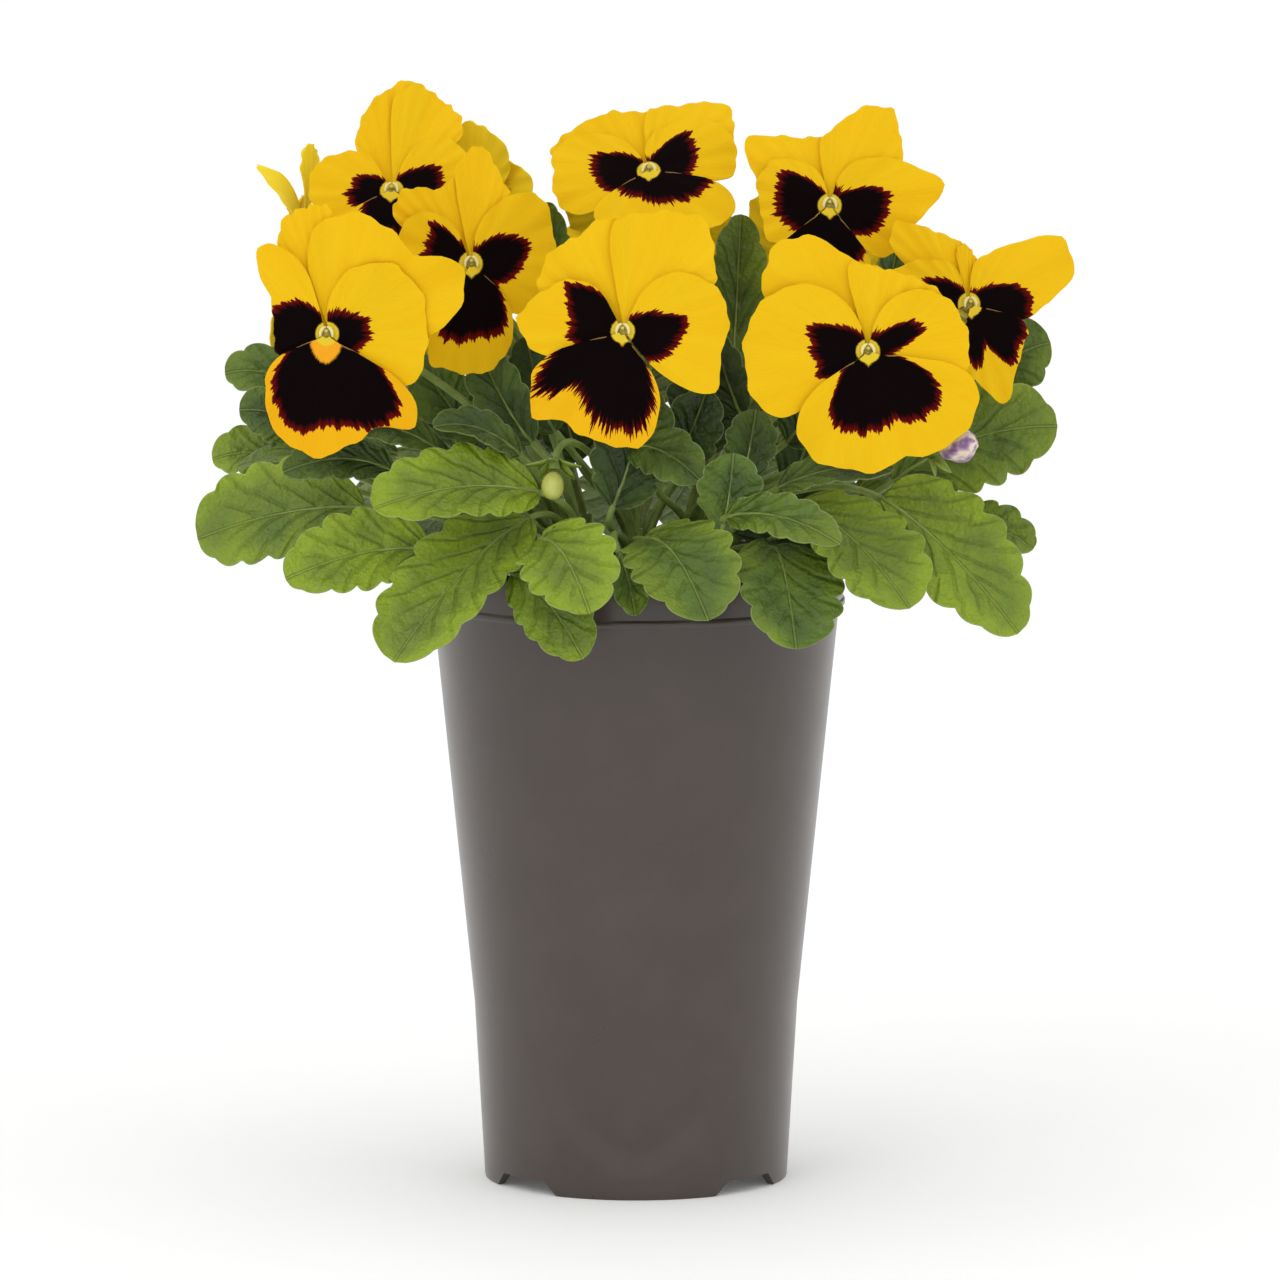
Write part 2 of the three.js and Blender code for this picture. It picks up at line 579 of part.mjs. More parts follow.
// Stalk and blade are one run of six-sided sections: round along the stalk, then flat.
function leafSolid(leaf, order) {
  const [, tipAt, baseAt, width, , [faceAzimuth, faceElevation], widest = 0.5] = leaf;
  const { stalk, midrib } = leafLines(leaf, order);
  const length = new THREE.Vector3(...tipAt).distanceTo(new THREE.Vector3(...baseAt));
  const rows = length < SHORT_LEAF ? 4 : length < LONG_LEAF ? 5 : 7;
  const turned = radians(faceElevation);
  const faces = around(faceAzimuth, Math.cos(turned), Math.sin(turned));
  // The stalk keeps its side turned like the blade's, without a twist.
  const across = new THREE.Vector3().crossVectors(midrib.getTangentAt(0), faces);
  const section = (curve, u, half, cup) => {
    const middle = curve.getPointAt(u);
    const along = curve.getTangentAt(u);
    const side = (cup ? new THREE.Vector3().crossVectors(along, faces) : across.clone())
      .projectOnPlane(along)
      .normalize();
    const normal = new THREE.Vector3().crossVectors(side, along).normalize();
    const at = (s, lift) =>
      middle.clone().addScaledVector(side, s * half).addScaledVector(normal, lift);
    if (half <= PETIOLE_RADIUS) {
      const [round, low] = [0.87, 0.5 * PETIOLE_RADIUS];
      return [at(-round, low), at(0, PETIOLE_RADIUS), at(round, low), at(round, -low),
        at(0, -PETIOLE_RADIUS), at(-round, -low)];
    }
    const thick = LEAF_THICKNESS / 2;
    return [at(-1, cup + thick), at(0, thick), at(1, cup + thick), at(1, cup - thick),
      at(0, -thick), at(-1, cup - thick)];
  };
  const rings = [];
  for (let i = 0; i < STALK_RINGS; i++)
    rings.push(section(stalk, i / STALK_RINGS, PETIOLE_RADIUS, 0));
  for (let row = 0; row <= rows; row++) {
    const v = row / rows;
    const shapeAt = row === rows ? 0.975 : v;
    const half = row === 0 ? PETIOLE_RADIUS : halfWidth(shapeAt, width, widest, row);
    rings.push(section(midrib, v, half, row ? LEAF_CUP * half : 0));
  }
  return ringSolid(rings, false);
}

// Blooms
// The face of a bloom: its centre, the way it faces, and its own up and right.
function faceOf({ at: [x, y, z], yaw, pitch }) {
  const [a, b] = [yaw, pitch].map(radians);
  const facing = new THREE.Vector3(
    Math.sin(a) * Math.cos(b),
    -Math.cos(a) * Math.cos(b),
    Math.sin(b),
  );
  const up = new THREE.Vector3(-Math.sin(a) * Math.sin(b), Math.cos(a) * Math.sin(b), Math.cos(b));
  const right = new THREE.Vector3().crossVectors(up, facing);
  return { centre: new THREE.Vector3(x, y, z), facing, up, right };
}
const inFace = ({ centre, facing, up, right }, x, y, z) =>
  centre.clone().addScaledVector(right, x).addScaledVector(up, y).addScaledVector(facing, z);

// The bend of the whole face in one direction: each petal's own bend, blended round the circle.
function bendAt(bends, turn) {
  const order = [4, 3, 1, 0, 2];
  const angle = (((turn + 90) % 360) + 360) % 360;
  const starts = order.map((k) => (SIDES[k] + 90) % 360);
  let i = starts.length - 1;
  while (starts[i] > angle) i--;
  const next = (i + 1) % order.length;
  const span = (next ? starts[next] : 360) - starts[i];
  const mix = smooth((angle - starts[i]) / span);
  return bends[order[i]] * (1 - mix) + bends[order[next]] * mix;
}
// A point of a petal in a direction of the face, so far out from its middle. All petals follow one
// waved and bent surface, each in a layer of its own.
function petalPoint(face, layer, bends, seed, turn, out) {
  const share = out / MEAN_LENGTH;
  const bend = radians(bendAt(bends, turn) || 0.5) * share;
  const level = (out * Math.sin(bend)) / bend;
  const wave = RUFFLE * share * share * Math.sin(5 * radians(turn) + 6 * draw(seed));
  const height = (out * (1 - Math.cos(bend))) / bend + wave + layer;
  return inFace(face, level * Math.cos(radians(turn)), level * Math.sin(radians(turn)), height);
}
function bloomSolid(bloom, seed) {
  const face = faceOf(bloom);
  const half = face.facing.clone().multiplyScalar(PETAL_THICKNESS / 2);
  const petals = bloom.petals.map(([from, to, lengths], k) => {
    const at = (turn, out) => petalPoint(face, LAYERS[k], bloom.bends, seed, turn, out);
    const step = (to - from) / (lengths.length - 1);
    const rows = PETAL_ROWS.map((share) =>
      lengths.map((length, i) => at(from + step * i, PETAL_ROOT + (length - PETAL_ROOT) * share)),
    );
    return bladeSolid(at((from + to) / 2, PETAL_ROOT), rows, half);
  });
  const boss = ringSolid([BOSS_BACK, BOSS_FRONT].map((z) => faceRing(face, BOSS_RADIUS, z, 3)));
  return joined([boss, ...petals]);
}
const faceRing = (face, radius, z, sides) =>
  Array.from({ length: sides }, (_, i) => {
    const turn = (2 * Math.PI * (i + 0.5)) / sides - Math.PI / 2;
    return inFace(face, radius * Math.cos(turn), radius * Math.sin(turn), z);
  });

// The green star of five sepals behind a bloom, and the stalk that bends over into it.
function calyxSolid(face, back) {
  const star = Array.from({ length: 10 }, (_, i) => {
    const turn = Math.PI / 2 + (Math.PI * i) / 5;
    const radius = i % 2 ? 3.2 : SEPAL_LENGTH;
    return inFace(face, radius * Math.cos(turn), radius * Math.sin(turn), back - 0.8);
  });
  return domedSolid(star, face, back - CALYX_DEPTH - 0.8, back);
}
function stalkSolid(stem, face, back) {
  const [azimuth, distance] = SHOOTS[stem];
  const root = around(azimuth, distance, STEM_TOP - 3);
  const end = inFace(face, 0, 0, back - CALYX_DEPTH / 2);
  const bend = inFace(face, 0, 4, back - 20);
  const lower = root.clone().lerp(bend, 0.25);
  lower.z = root.z + 0.55 * (bend.z - root.z);
  return tubeSolid(new THREE.CubicBezierCurve3(root, lower, bend, end), STALK_RADIUS, 3, 4);
}
// A small closed body along its face's direction: the spent bloom and the pod.
function budSolid(bud, ribs) {
  const face = faceOf(bud);
  const rings = [0.02, 0.2, 0.5, 0.8, 0.98].map((share) => {
    const girth = bud.radius * Math.sqrt(1 - Math.pow(2 * share - 1, 2));
    return Array.from({ length: 10 }, (_, i) => {
      const radius = Math.max(0.5, girth * (i % 2 ? 1 - ribs : 1));
      const turn = (Math.PI * i) / 5 + 1.2 * share * ribs;
      const [x, y] = [radius * Math.cos(turn), radius * Math.sin(turn)];
      return inFace(face, x, y, bud.length * (share - 0.5));
    });
  });
  return ringSolid(rings);
}

// One green body for each leafy stem: the stem, its leaves, and the stalk and calyx of each bloom.
function shootSolid(name) {
  const [azimuth, distance] = SHOOTS[name];
  const line = new THREE.LineCurve3(
    around(azimuth, distance, SOIL_TOP - HOLE_DEPTH + 1),
    around(azimuth, distance, STEM_TOP),
  );
  const parts = [tubeSolid(line, STEM_RADIUS, 6, 1)];
  LEAVES.filter(([stem]) => stem === name).forEach((leaf, order) =>
    parts.push(leafSolid(leaf, order)),
  );
  const carry = (face, back) =>
    parts.push(calyxSolid(face, back), stalkSolid(name, face, back));
  for (const bloom of Object.values(BLOOMS))
    if (bloom.stem === name) carry(faceOf(bloom), BOSS_BACK - CALYX_GAP);
  for (const bud of [SPENT_BLOOM, SEED_POD])
    if (bud.stem === name) carry(faceOf(bud), -0.48 * bud.length - CALYX_GAP);
  return joined(parts);
}

const planter = new THREE.Group();
planter.add(meshOf("pot", potSolid(), material(PALETTE.pot, 0.45)));
planter.add(meshOf("soil", soilSolid(), material(PALETTE.soil, 0.95)));
for (const name of Object.keys(SHOOTS))
  planter.add(meshOf(`stem_${name}`, shootSolid(name), material(PALETTE.foliage, 0.55)));
Object.entries(BLOOMS).forEach(([letter, bloom], i) =>
  planter.add(meshOf(`bloom_${letter}`, bloomSolid(bloom, 50 * i), material(PALETTE.petals, 0.6))),
);
planter.add(meshOf("spent_bloom", budSolid(SPENT_BLOOM, 0.25), material(PALETTE.spent, 0.7)));
planter.add(meshOf("seed_pod", budSolid(SEED_POD, 0.08), material(PALETTE.pod, 0.5)));

export default planter;
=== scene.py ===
# %% [markdown]
# A potted pansy: a tall moulded pot, its compost, leafy stems and large yellow blooms with dark
# faces. The rigid part is loaded first, as a frame in metres, and every finer piece is laid over
# the rigid one that it stands for. The pieces are worked out in millimetres, as a gardener would
# measure them, and turned to metres when they become meshes.

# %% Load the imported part
import functools
import math

import bmesh
import bpy
import numpy as np
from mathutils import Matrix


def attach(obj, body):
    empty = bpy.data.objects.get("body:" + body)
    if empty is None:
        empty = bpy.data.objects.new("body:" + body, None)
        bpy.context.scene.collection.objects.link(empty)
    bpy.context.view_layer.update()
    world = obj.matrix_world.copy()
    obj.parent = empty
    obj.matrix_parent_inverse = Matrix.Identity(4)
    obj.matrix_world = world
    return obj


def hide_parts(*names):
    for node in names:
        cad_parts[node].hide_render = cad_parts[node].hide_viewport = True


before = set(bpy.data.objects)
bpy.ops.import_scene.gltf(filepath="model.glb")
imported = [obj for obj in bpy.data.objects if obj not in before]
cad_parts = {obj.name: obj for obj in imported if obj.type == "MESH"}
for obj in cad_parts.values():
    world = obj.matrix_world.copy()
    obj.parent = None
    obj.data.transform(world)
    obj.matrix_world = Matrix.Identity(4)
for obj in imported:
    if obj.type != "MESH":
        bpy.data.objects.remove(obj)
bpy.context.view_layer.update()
MM = 0.001

# %% [markdown]
# Colours are written as a screen shows them, in sRGB hex. Blender mixes light, so it wants
# linear values, and one function turns the one into the other. A second one adds a node with its
# settings and its links, and gives back the output that the next node needs. A finish begins as
# a material with one shader, and with that function tied to it.

# %% Colour and node helpers
MODES = {
    # what the word after a node's kind sets
    "Attribute": "attribute_name",
    "MapRange": "interpolation_type",
    "Math": "operation",
    "Mix": "data_type",
    "TexVoronoi": "feature",
}


def linear(hex_colour):
    """sRGB hex to linear RGBA: v/12.92 below 0.04045, and ((v + 0.055)/1.055) to 2.4 above."""
    channels = np.array([int(hex_colour[i : i + 2], 16) for i in (1, 3, 5)]) / 255
    curve = ((channels + 0.055) / 1.055) ** 2.4
    return (*np.where(channels <= 0.04045, channels / 12.92, curve).tolist(), 1.0)


def wire(tree, kind, *values, out=None, stops=(), **settings):
    """Adds one node, or fills one that is given as the kind, and returns its output. A setting
    goes to the socket of its name, or else to the node itself, and the values fill the visible
    sockets in order. A value is a number, a hex colour or another node's output. A word after
    the kind is its mode, and stops are a colour ramp's places and colours."""
    made, named = kind, []
    if isinstance(kind, str):
        kind, _, mode = kind.partition(" ")
        made = tree.nodes.new("ShaderNode" + kind)
        if mode:
            setattr(made, MODES[kind], mode)
    for name, value in settings.items():
        socket = made.inputs.get(name.replace("_", " "))
        if socket is None:
            setattr(made, name, value)
        else:
            named.append((socket, value))
    shown = [socket for socket in made.inputs if socket.enabled]
    for socket, value in [*zip(shown, values), *named]:
        if isinstance(value, bpy.types.NodeSocket):
            tree.links.new(value, socket)
        else:
            socket.default_value = linear(value) if isinstance(value, str) else value
    for _ in stops[2:]:
        made.color_ramp.elements.new(0.5)
    for i, (place, colour) in enumerate(stops):
        made.color_ramp.elements[i].position = place
        made.color_ramp.elements[i].color = linear(colour)
    return made.outputs[out] if out else next(s for s in made.outputs if s.enabled)


def new_finish(name):
    """A material, the function that adds a node to it, and its shader."""
    material = bpy.data.materials.new(name)
    material.use_nodes = True
    tree = material.node_tree
    return material, functools.partial(wire, tree), tree.nodes["Principled BSDF"]


def in_scene(name, data):
    """A new object that holds the data, linked to the scene."""
    held = bpy.data.objects.new(name, data)
    bpy.context.scene.collection.objects.link(held)
    return held


def new_body(name, points, faces):
    """A mesh of points in millimetres and their faces, as an object at the origin."""
    mesh = bpy.data.meshes.new(name)
    mesh.from_pydata((np.asarray(points) * MM).tolist(), [], faces)
    return in_scene(name, mesh)


print("middle grey is", round(linear("#808080")[0], 3), "in linear light")

# %% [markdown]
# The photograph was taken from almost level with the top of the pot, a little above it, with a
# long lens. A long lens keeps the pot's sides nearly straight, so the camera stands over three
# metres away and its lens is long enough to fill the picture.

# %% Camera
TARGET = np.array([1.26, 0, 170]) * MM
CAMERA_ELEVATION = math.radians(7.3)
CAMERA_DISTANCE = 3.2
MM_PER_PIXEL = 0.314
PHOTO_WIDTH = 1280
SENSOR = 36

camera_data = bpy.data.cameras.new("camera")
camera_data.sensor_width = SENSOR
camera_data.lens = SENSOR * CAMERA_DISTANCE / (PHOTO_WIDTH * MM_PER_PIXEL * MM)
camera = in_scene("camera", camera_data)
backward = np.array([0, -math.cos(CAMERA_ELEVATION), math.sin(CAMERA_ELEVATION)])
camera.location = TARGET + CAMERA_DISTANCE * backward
camera.rotation_euler = (math.pi / 2 - CAMERA_ELEVATION, 0, 0)
bpy.context.scene.camera = camera
print("lens, mm:", round(camera_data.lens, 1))

# %% [markdown]
# A nursery's catalogue picture is lit by white all round, so that nothing casts a hard shadow and
# the pot's edges catch a thin white line. A white world does that. One large lamp from the upper
# left gives the petals their form, and the floor is a pale matt sheet, lightly mottled.

# %% Floor and light
world = bpy.data.worlds.new("white_room")
world.use_nodes = True
world.node_tree.nodes["Background"].inputs["Color"].default_value = linear("#FFFFFF")
world.node_tree.nodes["Background"].inputs["Strength"].default_value = 1.0
bpy.context.scene.world = world
bpy.context.scene.view_settings.view_transform = "Standard"

LAMPS = {
    # name: place in metres, power in watts
    "key_lamp": ((-1.0, -1.6, 1.7), 7),
    "fill_lamp": ((1.5, -1.2, 0.9), 1.5),
}
LAMP_SIDE = 1.2
LAMP_AIM = (0, 0, 0.22)
for lamp_name, (place, power) in LAMPS.items():
    lamp_data = bpy.data.lights.new(lamp_name, "AREA")
    lamp_data.size = LAMP_SIDE
    lamp_data.energy = power
    lamp = in_scene(lamp_name, lamp_data)
    lamp.location = place
    x, y, z = np.subtract(LAMP_AIM, place)
    lamp.rotation_euler = (math.acos(-z / math.hypot(x, y, z)), 0, math.atan2(y, x) - math.pi / 2)

FLOOR_REACH = 6000
corners = np.array([(-1, -1, 0), (1, -1, 0), (1, 1, 0), (-1, 1, 0)])
floor = new_body("floor", corners * FLOOR_REACH, [(0, 1, 2, 3)])
floor_finish, add, shader = new_finish("pale_matt_sheet")
mottle = add("TexNoise", add("TexCoord", out="Object"), Scale=30.0, Detail=3.0)
shade = add("Mix RGBA", mottle, "#F6F6F4", "#FAFAF9")
add(shader, Base_Color=shade, Roughness=0.75, Emission_Color="#FFFFFF", Emission_Strength=0.07)
floor.data.materials.append(floor_finish)
print("lamps:", list(LAMPS))

# %% [markdown]
# Every living piece here is a closed surface over a grid of points: a blade with two faces and a
# thin rim, or a tube with its ends filled. Each grid carries a few numbers for each point, such
# as how far it lies inside a petal's dark blotch, and the finishes read those numbers. The whole
# grid is worked out as one array, which is quick and keeps each formula in one place.

# %% Measures
def smooth(x):
    """3 t t - 2 t t t, with t held between 0 and 1."""
    t = np.clip(x, 0, 1)
    return t * t * (3 - 2 * t)


def draw(n):
    """A repeatable draw from 0 to 1: the fraction of 43758.5453 sin(127.1 n + 311.7)."""
    x = np.sin(n * 127.1 + 311.7) * 43758.5453
    return x - np.floor(x)


def around(azimuth, distance, height):
    """A point at (distance sin azimuth, -distance cos azimuth, height), azimuth in degrees."""
    turn = np.radians(azimuth)
    parts = np.broadcast_arrays(distance * np.sin(turn), -distance * np.cos(turn), height)
    return np.stack(parts, axis=-1).astype(float)


def unit(v):
    """v divided by its length."""
    return v / np.maximum(np.linalg.norm(v, axis=-1, keepdims=True), 1e-9)


print("the first draws:", draw(np.arange(3.0)).round(3))


# %% Grids, blades and tubes
def facing_out(points, faces):
    """The faces, turned round if their volume, the sum of a.(b x c)/6, comes out negative."""
    a, b, c, d = np.moveaxis(points[faces] - points.mean(axis=0), 1, 0)
    volume = np.einsum("ij,ij->", a, np.cross(b, c)) + np.einsum("ij,ij->", a, np.cross(c, d))
    return faces if volume > 0 else faces[:, ::-1]


def grid_quads(number):
    """Quads of a grid of point numbers: each point with its neighbours across and along."""
    corners = number[:-1, :-1], number[:-1, 1:], number[1:, 1:], number[1:, :-1]
    return np.stack(corners, axis=-1).reshape(-1, 4)


def blade(middle, offset, **values):
    """A closed blade: the grid plus and minus its offset, with a rim round the edge. The value
    under is 0 on the plus side and 1 on the minus side."""
    rows, columns = middle.shape[:2]
    count = rows * columns
    number = np.arange(count).reshape(rows, columns)
    points = np.concatenate([(middle + offset).reshape(-1, 3), (middle - offset).reshape(-1, 3)])
    sides = number[0, :-1], number[:-1, -1], number[-1, :0:-1], number[:0:-1, 0]
    edge = np.concatenate(sides)
    after = np.roll(edge, -1)
    rim = np.stack([edge, edge + count, after + count, after], axis=-1)
    faces = np.concatenate([grid_quads(number), grid_quads(number + count)[:, ::-1], rim])
    held = {
        name: np.tile(np.broadcast_to(value, (rows, columns)).ravel(), 2)
        for name, value in values.items()
    }
    held["under"] = np.repeat([0.0, 1.0], count)
    return {"points": points, "faces": facing_out(points, faces), "finish": 0, "values": held}


def ringed(points, finish=0, **values):
    """A closed body of rings, one in each row of the grid: each ring's last point joins its
    first, and the first and last ring are as small as a point."""
    rings, sides = points.shape[:2]
    number = np.arange(rings * sides).reshape(rings, sides)
    faces = grid_quads(np.concatenate([number, number[:, :1]], axis=1))
    points = points.reshape(-1, 3)
    held = {name: np.broadcast_to(value, (rings, sides)).ravel() for name, value in values.items()}
    return {"points": points, "faces": facing_out(points, faces), "finish": finish, "values": held}


def tube(middle, side, other, radius, sides=10, finish=0, **values):
    """A closed tube: middle + radius (side cos t + other sin t), with both ends drawn to a
    point on the middle line. radius is one number for each step, or a grid of them, and side
    and other are one direction for all steps, or one for each."""
    turn = np.arange(sides) / sides * 2 * np.pi
    radius = np.reshape(radius, (len(middle), -1)) * np.ones(sides)
    radius = np.concatenate([0 * radius[:1], radius, 0 * radius[:1]])
    middle, side, other = (
        np.concatenate([line[:1], line, line[-1:]])[:, None]
        for line in np.broadcast_arrays(middle, side, other)
    )
    swing = side * np.cos(turn)[:, None] + other * np.sin(turn)[:, None]
    share = np.linspace(0, 1, len(radius))[:, None]
    points = middle + radius[..., None] * swing
    return ringed(points, finish, along=share, turn=np.degrees(turn), **values)


flat = np.zeros((3, 3, 3))
print("faces of the smallest blade and tube:", len(blade(flat, 1)["faces"]), len(ringed(flat)["faces"]))


# %% From patches to a piece
NEAR = 0.01  # points closer than this are one point, in millimetres
SHARP = math.radians(50)  # an edge as sharp as this isn't smoothed over


def make_piece(name, patches, finishes, replaces=()):
    """One mesh of all the patches. Points that fall together, as at a tube's ends, are merged in
    Blender's own mesh editor, and sharp edges, as at a blade's rim, stay sharp."""
    starts = np.cumsum([0] + [len(p["points"]) for p in patches[:-1]])
    points = np.concatenate([p["points"] for p in patches])
    faces = np.concatenate([p["faces"] + start for p, start in zip(patches, starts)])
    which = np.concatenate([np.full(len(p["faces"]), p["finish"]) for p in patches])
    piece = new_body(name, points, faces.tolist())
    mesh = piece.data
    mesh.polygons.foreach_set("material_index", which.astype(np.int32))
    for key in sorted({key for p in patches for key in p["values"]}):
        column = [p["values"].get(key, np.zeros(len(p["points"]))) for p in patches]
        held = mesh.attributes.new(key, "FLOAT", "POINT")
        held.data.foreach_set("value", np.concatenate(column).astype(np.float32))
    for finish in finishes:
        mesh.materials.append(finish)
    work = bmesh.new()
    work.from_mesh(mesh)
    bmesh.ops.remove_doubles(work, verts=work.verts, dist=NEAR * MM)
    work.to_mesh(mesh)
    work.free()
    mesh.polygons.foreach_set("use_smooth", np.ones(len(mesh.polygons), bool))
    mesh.set_sharp_from_angle(angle=SHARP)
    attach(piece, "root")
    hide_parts(*replaces)
    return piece


print("edges stay sharp above", round(math.degrees(SHARP)), "degrees")

# %% [markdown]
# A stalk or a midrib is a curve that three or four control points pull into shape. Points spaced
# evenly along its real length, with the way the curve runs at each, are what a leaf's rows or a
# tube's rings need. The sideways direction comes from a face direction and not from the curve's
# own turn, so that nothing twists.

# %% Curves
def follow(controls, shares):
    """Points and unit directions at shares of a curve's length, and that length. The point at t
    is the sum of C(n, k) t^k (1 - t)^(n - k) times each control point."""
    controls = np.asarray(controls, float)
    degree = len(controls) - 1
    powers = np.arange(degree + 1)
    ways = np.array([math.comb(degree, k) for k in powers])

    def place(t):
        t = np.asarray(t)[:, None]
        return (ways * t**powers * (1 - t) ** (degree - powers)) @ controls

    fine = np.linspace(0, 1, 200)
    steps = np.linalg.norm(np.diff(place(fine), axis=0), axis=1)
    length = np.concatenate([[0], np.cumsum(steps)])
    t = np.interp(np.asarray(shares) * length[-1], length, fine)
    near = 1e-3
    ahead, behind = np.minimum(t + near, 1), np.maximum(t - near, 0)
    return place(t), unit(place(ahead) - place(behind)), length[-1]


def frame_along(directions, towards):
    """Two unit directions square to each of the curve's own: across, and facing towards."""
    side = unit(np.cross(directions, towards))
    return side, np.cross(side, directions)


hook = follow([(0, 0, 0), (0, 0, 60), (40, 0, 60)], [0, 1])
print("length of a bent stalk, mm:", round(hook[2], 1))

# %% [markdown]
# The pot is moulded from polypropylene. Its wall tapers in two stages, with a scoop over the
# front and the back foot below the knee, and a stepped band round the mouth. It is a profile
# carried round the axis, whose radius the scoops reduce. The gaps between the feet and the drain
# holes are cut out of it with Blender's Boolean, as the mould's own pins would leave them.

# %% Pot measures
POT_HEIGHT = 195
RIM_RADIUS = 65
RIM_BAND = 13
RIM_BEAD = 0.6
LIP_ROUND = 0.7  # outer edge of the lip
MOUTH_ROUND = 0.5  # inner edge of the lip
KNEE_HEIGHT = 56
KNEE_RADIUS = 50.9
UPPER_TAPER = 0.1024
LOWER_TAPER = 0.058
WALL = 1.4
FLOOR_UNDERSIDE = 6
FOOT_HEIGHT = 4.5
FOOT_WIDTH = 2.4
FRONT_FOOT_HALF_ANGLE = 37
SIDE_FOOT_HALF_ANGLE = 30
SCOOP_FOOT_HEIGHT = 11
SCOOP_HALF_ANGLE = 46
SCOOP_EDGE = 9
DRAIN_HOLES = 6
DRAIN_RADIUS = 4.5
DRAIN_CIRCLE = 36
DRAIN_SIDES = 24
POT_SHARP = math.radians(40)  # the pot's edges stay sharp above this
SOIL_TOP = 184
print("the wall leans out by", round(math.degrees(math.atan(UPPER_TAPER)), 1), "degrees")


# %% Pot wall
def outer_radius(height):
    """The wall's radius: the knee's, plus a taper for each millimetre above or below it."""
    taper = np.where(height > KNEE_HEIGHT, UPPER_TAPER, LOWER_TAPER)
    return KNEE_RADIUS + taper * (height - KNEE_HEIGHT)


def inner_radius(height):
    """The upper cone carried down, less the wall."""
    return KNEE_RADIUS + UPPER_TAPER * (height - KNEE_HEIGHT) - WALL


def scoop_depth(azimuth, height):
    """How far the scoop goes in: the gap between the two cones, eased in above a U-shaped edge
    that is lowest over the foot's middle and rises as the square of the angle from it."""
    off = np.minimum(np.abs((azimuth + 90) % 180 - 90) / SCOOP_HALF_ANGLE, 1)
    edge = SCOOP_FOOT_HEIGHT + (KNEE_HEIGHT - SCOOP_FOOT_HEIGHT) * off**2
    cone = inner_radius(height) + WALL
    depth = (outer_radius(height) - cone) * smooth((height - edge) / SCOOP_EDGE + 0.5)
    return np.where(height >= KNEE_HEIGHT, 0, depth)


def pot_grid(turns):
    """Rings of a radius and a height, from the underside, up the outside, over the lip and down
    the inside. The third number is 1 where the scoops reduce the radius."""
    band = POT_HEIGHT - RIM_BAND
    foot = outer_radius(0)
    bead = RIM_RADIUS + RIM_BEAD
    mouth = inner_radius(POT_HEIGHT)
    walls = [0.6, *np.linspace(3, KNEE_HEIGHT, 40), *np.linspace(60, band - 1, 12)]
    lip = [(math.sin(t), math.cos(t)) for t in np.radians(np.linspace(0, 90, 5))]
    outside, top = RIM_RADIUS - LIP_ROUND, POT_HEIGHT - LIP_ROUND
    inside, crest = mouth + MOUTH_ROUND, POT_HEIGHT - MOUTH_ROUND
    profile = [
        (0, FLOOR_UNDERSIDE, 0),
        (foot - FOOT_WIDTH - 1.2, FLOOR_UNDERSIDE, 0),
        (foot - FOOT_WIDTH - 0.3, 0.4, 0),
        (foot - FOOT_WIDTH, 0, 0),
        (foot - 0.6, 0, 0),
        (foot - 0.15, 0.15, 0),
        *((outer_radius(z), z, 1) for z in walls),
        (outer_radius(band - 0.4), band - 0.4, 0),
        (bead - 0.3, band - 0.2, 0),
        (bead, band + 0.2, 0),
        (bead, band + 1.4, 0),
        (bead - 0.2, band + 1.8, 0),
        (RIM_RADIUS, band + 2.2, 0),
        (RIM_RADIUS, band + 6, 0),
        *((outside + LIP_ROUND * cos, top + LIP_ROUND * sin, 0) for sin, cos in lip),
        *((inside - MOUTH_ROUND * sin, crest + MOUTH_ROUND * cos, 0) for sin, cos in lip),
        *((inner_radius(z), z, 0) for z in (SOIL_TOP, 120, 60, 12)),
        (inner_radius(FLOOR_UNDERSIDE + WALL) - 1.5, FLOOR_UNDERSIDE + WALL, 0),
        (0, FLOOR_UNDERSIDE + WALL, 0),
    ]
    radius, height, scooped = np.array(profile).T[..., None]
    return around(turns, radius - scooped * scoop_depth(turns, height), height)


pot_patch = ringed(pot_grid(np.arange(0, 360, 2.5)))
print("pot points:", len(pot_patch["points"]))


# %% Cutters for the feet and the drain holes
def foot_gap(quarter):
    """A slot with ends at 45 degrees through the foot ring, between two feet."""
    middle = (FRONT_FOOT_HALF_ANGLE + 90 - SIDE_FOOT_HALF_ANGLE) / 2
    turn = math.radians(90 * quarter + (90 - middle if quarter % 2 else middle))
    spread = math.radians(90 - SIDE_FOOT_HALF_ANGLE - FRONT_FOOT_HALF_ANGLE) / 2
    foot = float(outer_radius(0))
    half = foot * math.sin(spread)
    low = half + FOOT_HEIGHT + 1
    outline = [(-low, -1), (low, -1), (half, FOOT_HEIGHT), (-half, FOOT_HEIGHT)]
    points = [(x, depth, z) for depth in (-foot - 5, -foot + 7) for x, z in outline]
    cos, sin = math.cos(turn), math.sin(turn)
    turned = np.array(points) @ [(cos, sin, 0), (-sin, cos, 0), (0, 0, 1)]
    faces = [(0, 1, 2, 3), (7, 6, 5, 4), (0, 4, 5, 1), (1, 5, 6, 2), (2, 6, 7, 3), (3, 7, 4, 0)]
    return new_body(f"gap_{quarter}", turned, faces)


def drain_pin(i):
    """A round pin through the floor: two rings of points, an end face on each, and a quad
    between each pair of neighbours."""
    n = DRAIN_SIDES
    centre = around((360 * (i + 0.5)) / DRAIN_HOLES, DRAIN_CIRCLE, 0)
    rings = [centre + around(np.arange(n) * 360 / n, DRAIN_RADIUS, z) for z in (2.0, 10.0)]
    faces = [tuple(range(n - 1, -1, -1)), tuple(range(n, 2 * n))]
    faces += [(k, (k + 1) % n, n + (k + 1) % n, n + k) for k in range(n)]
    return new_body(f"pin_{i}", np.concatenate(rings), faces)


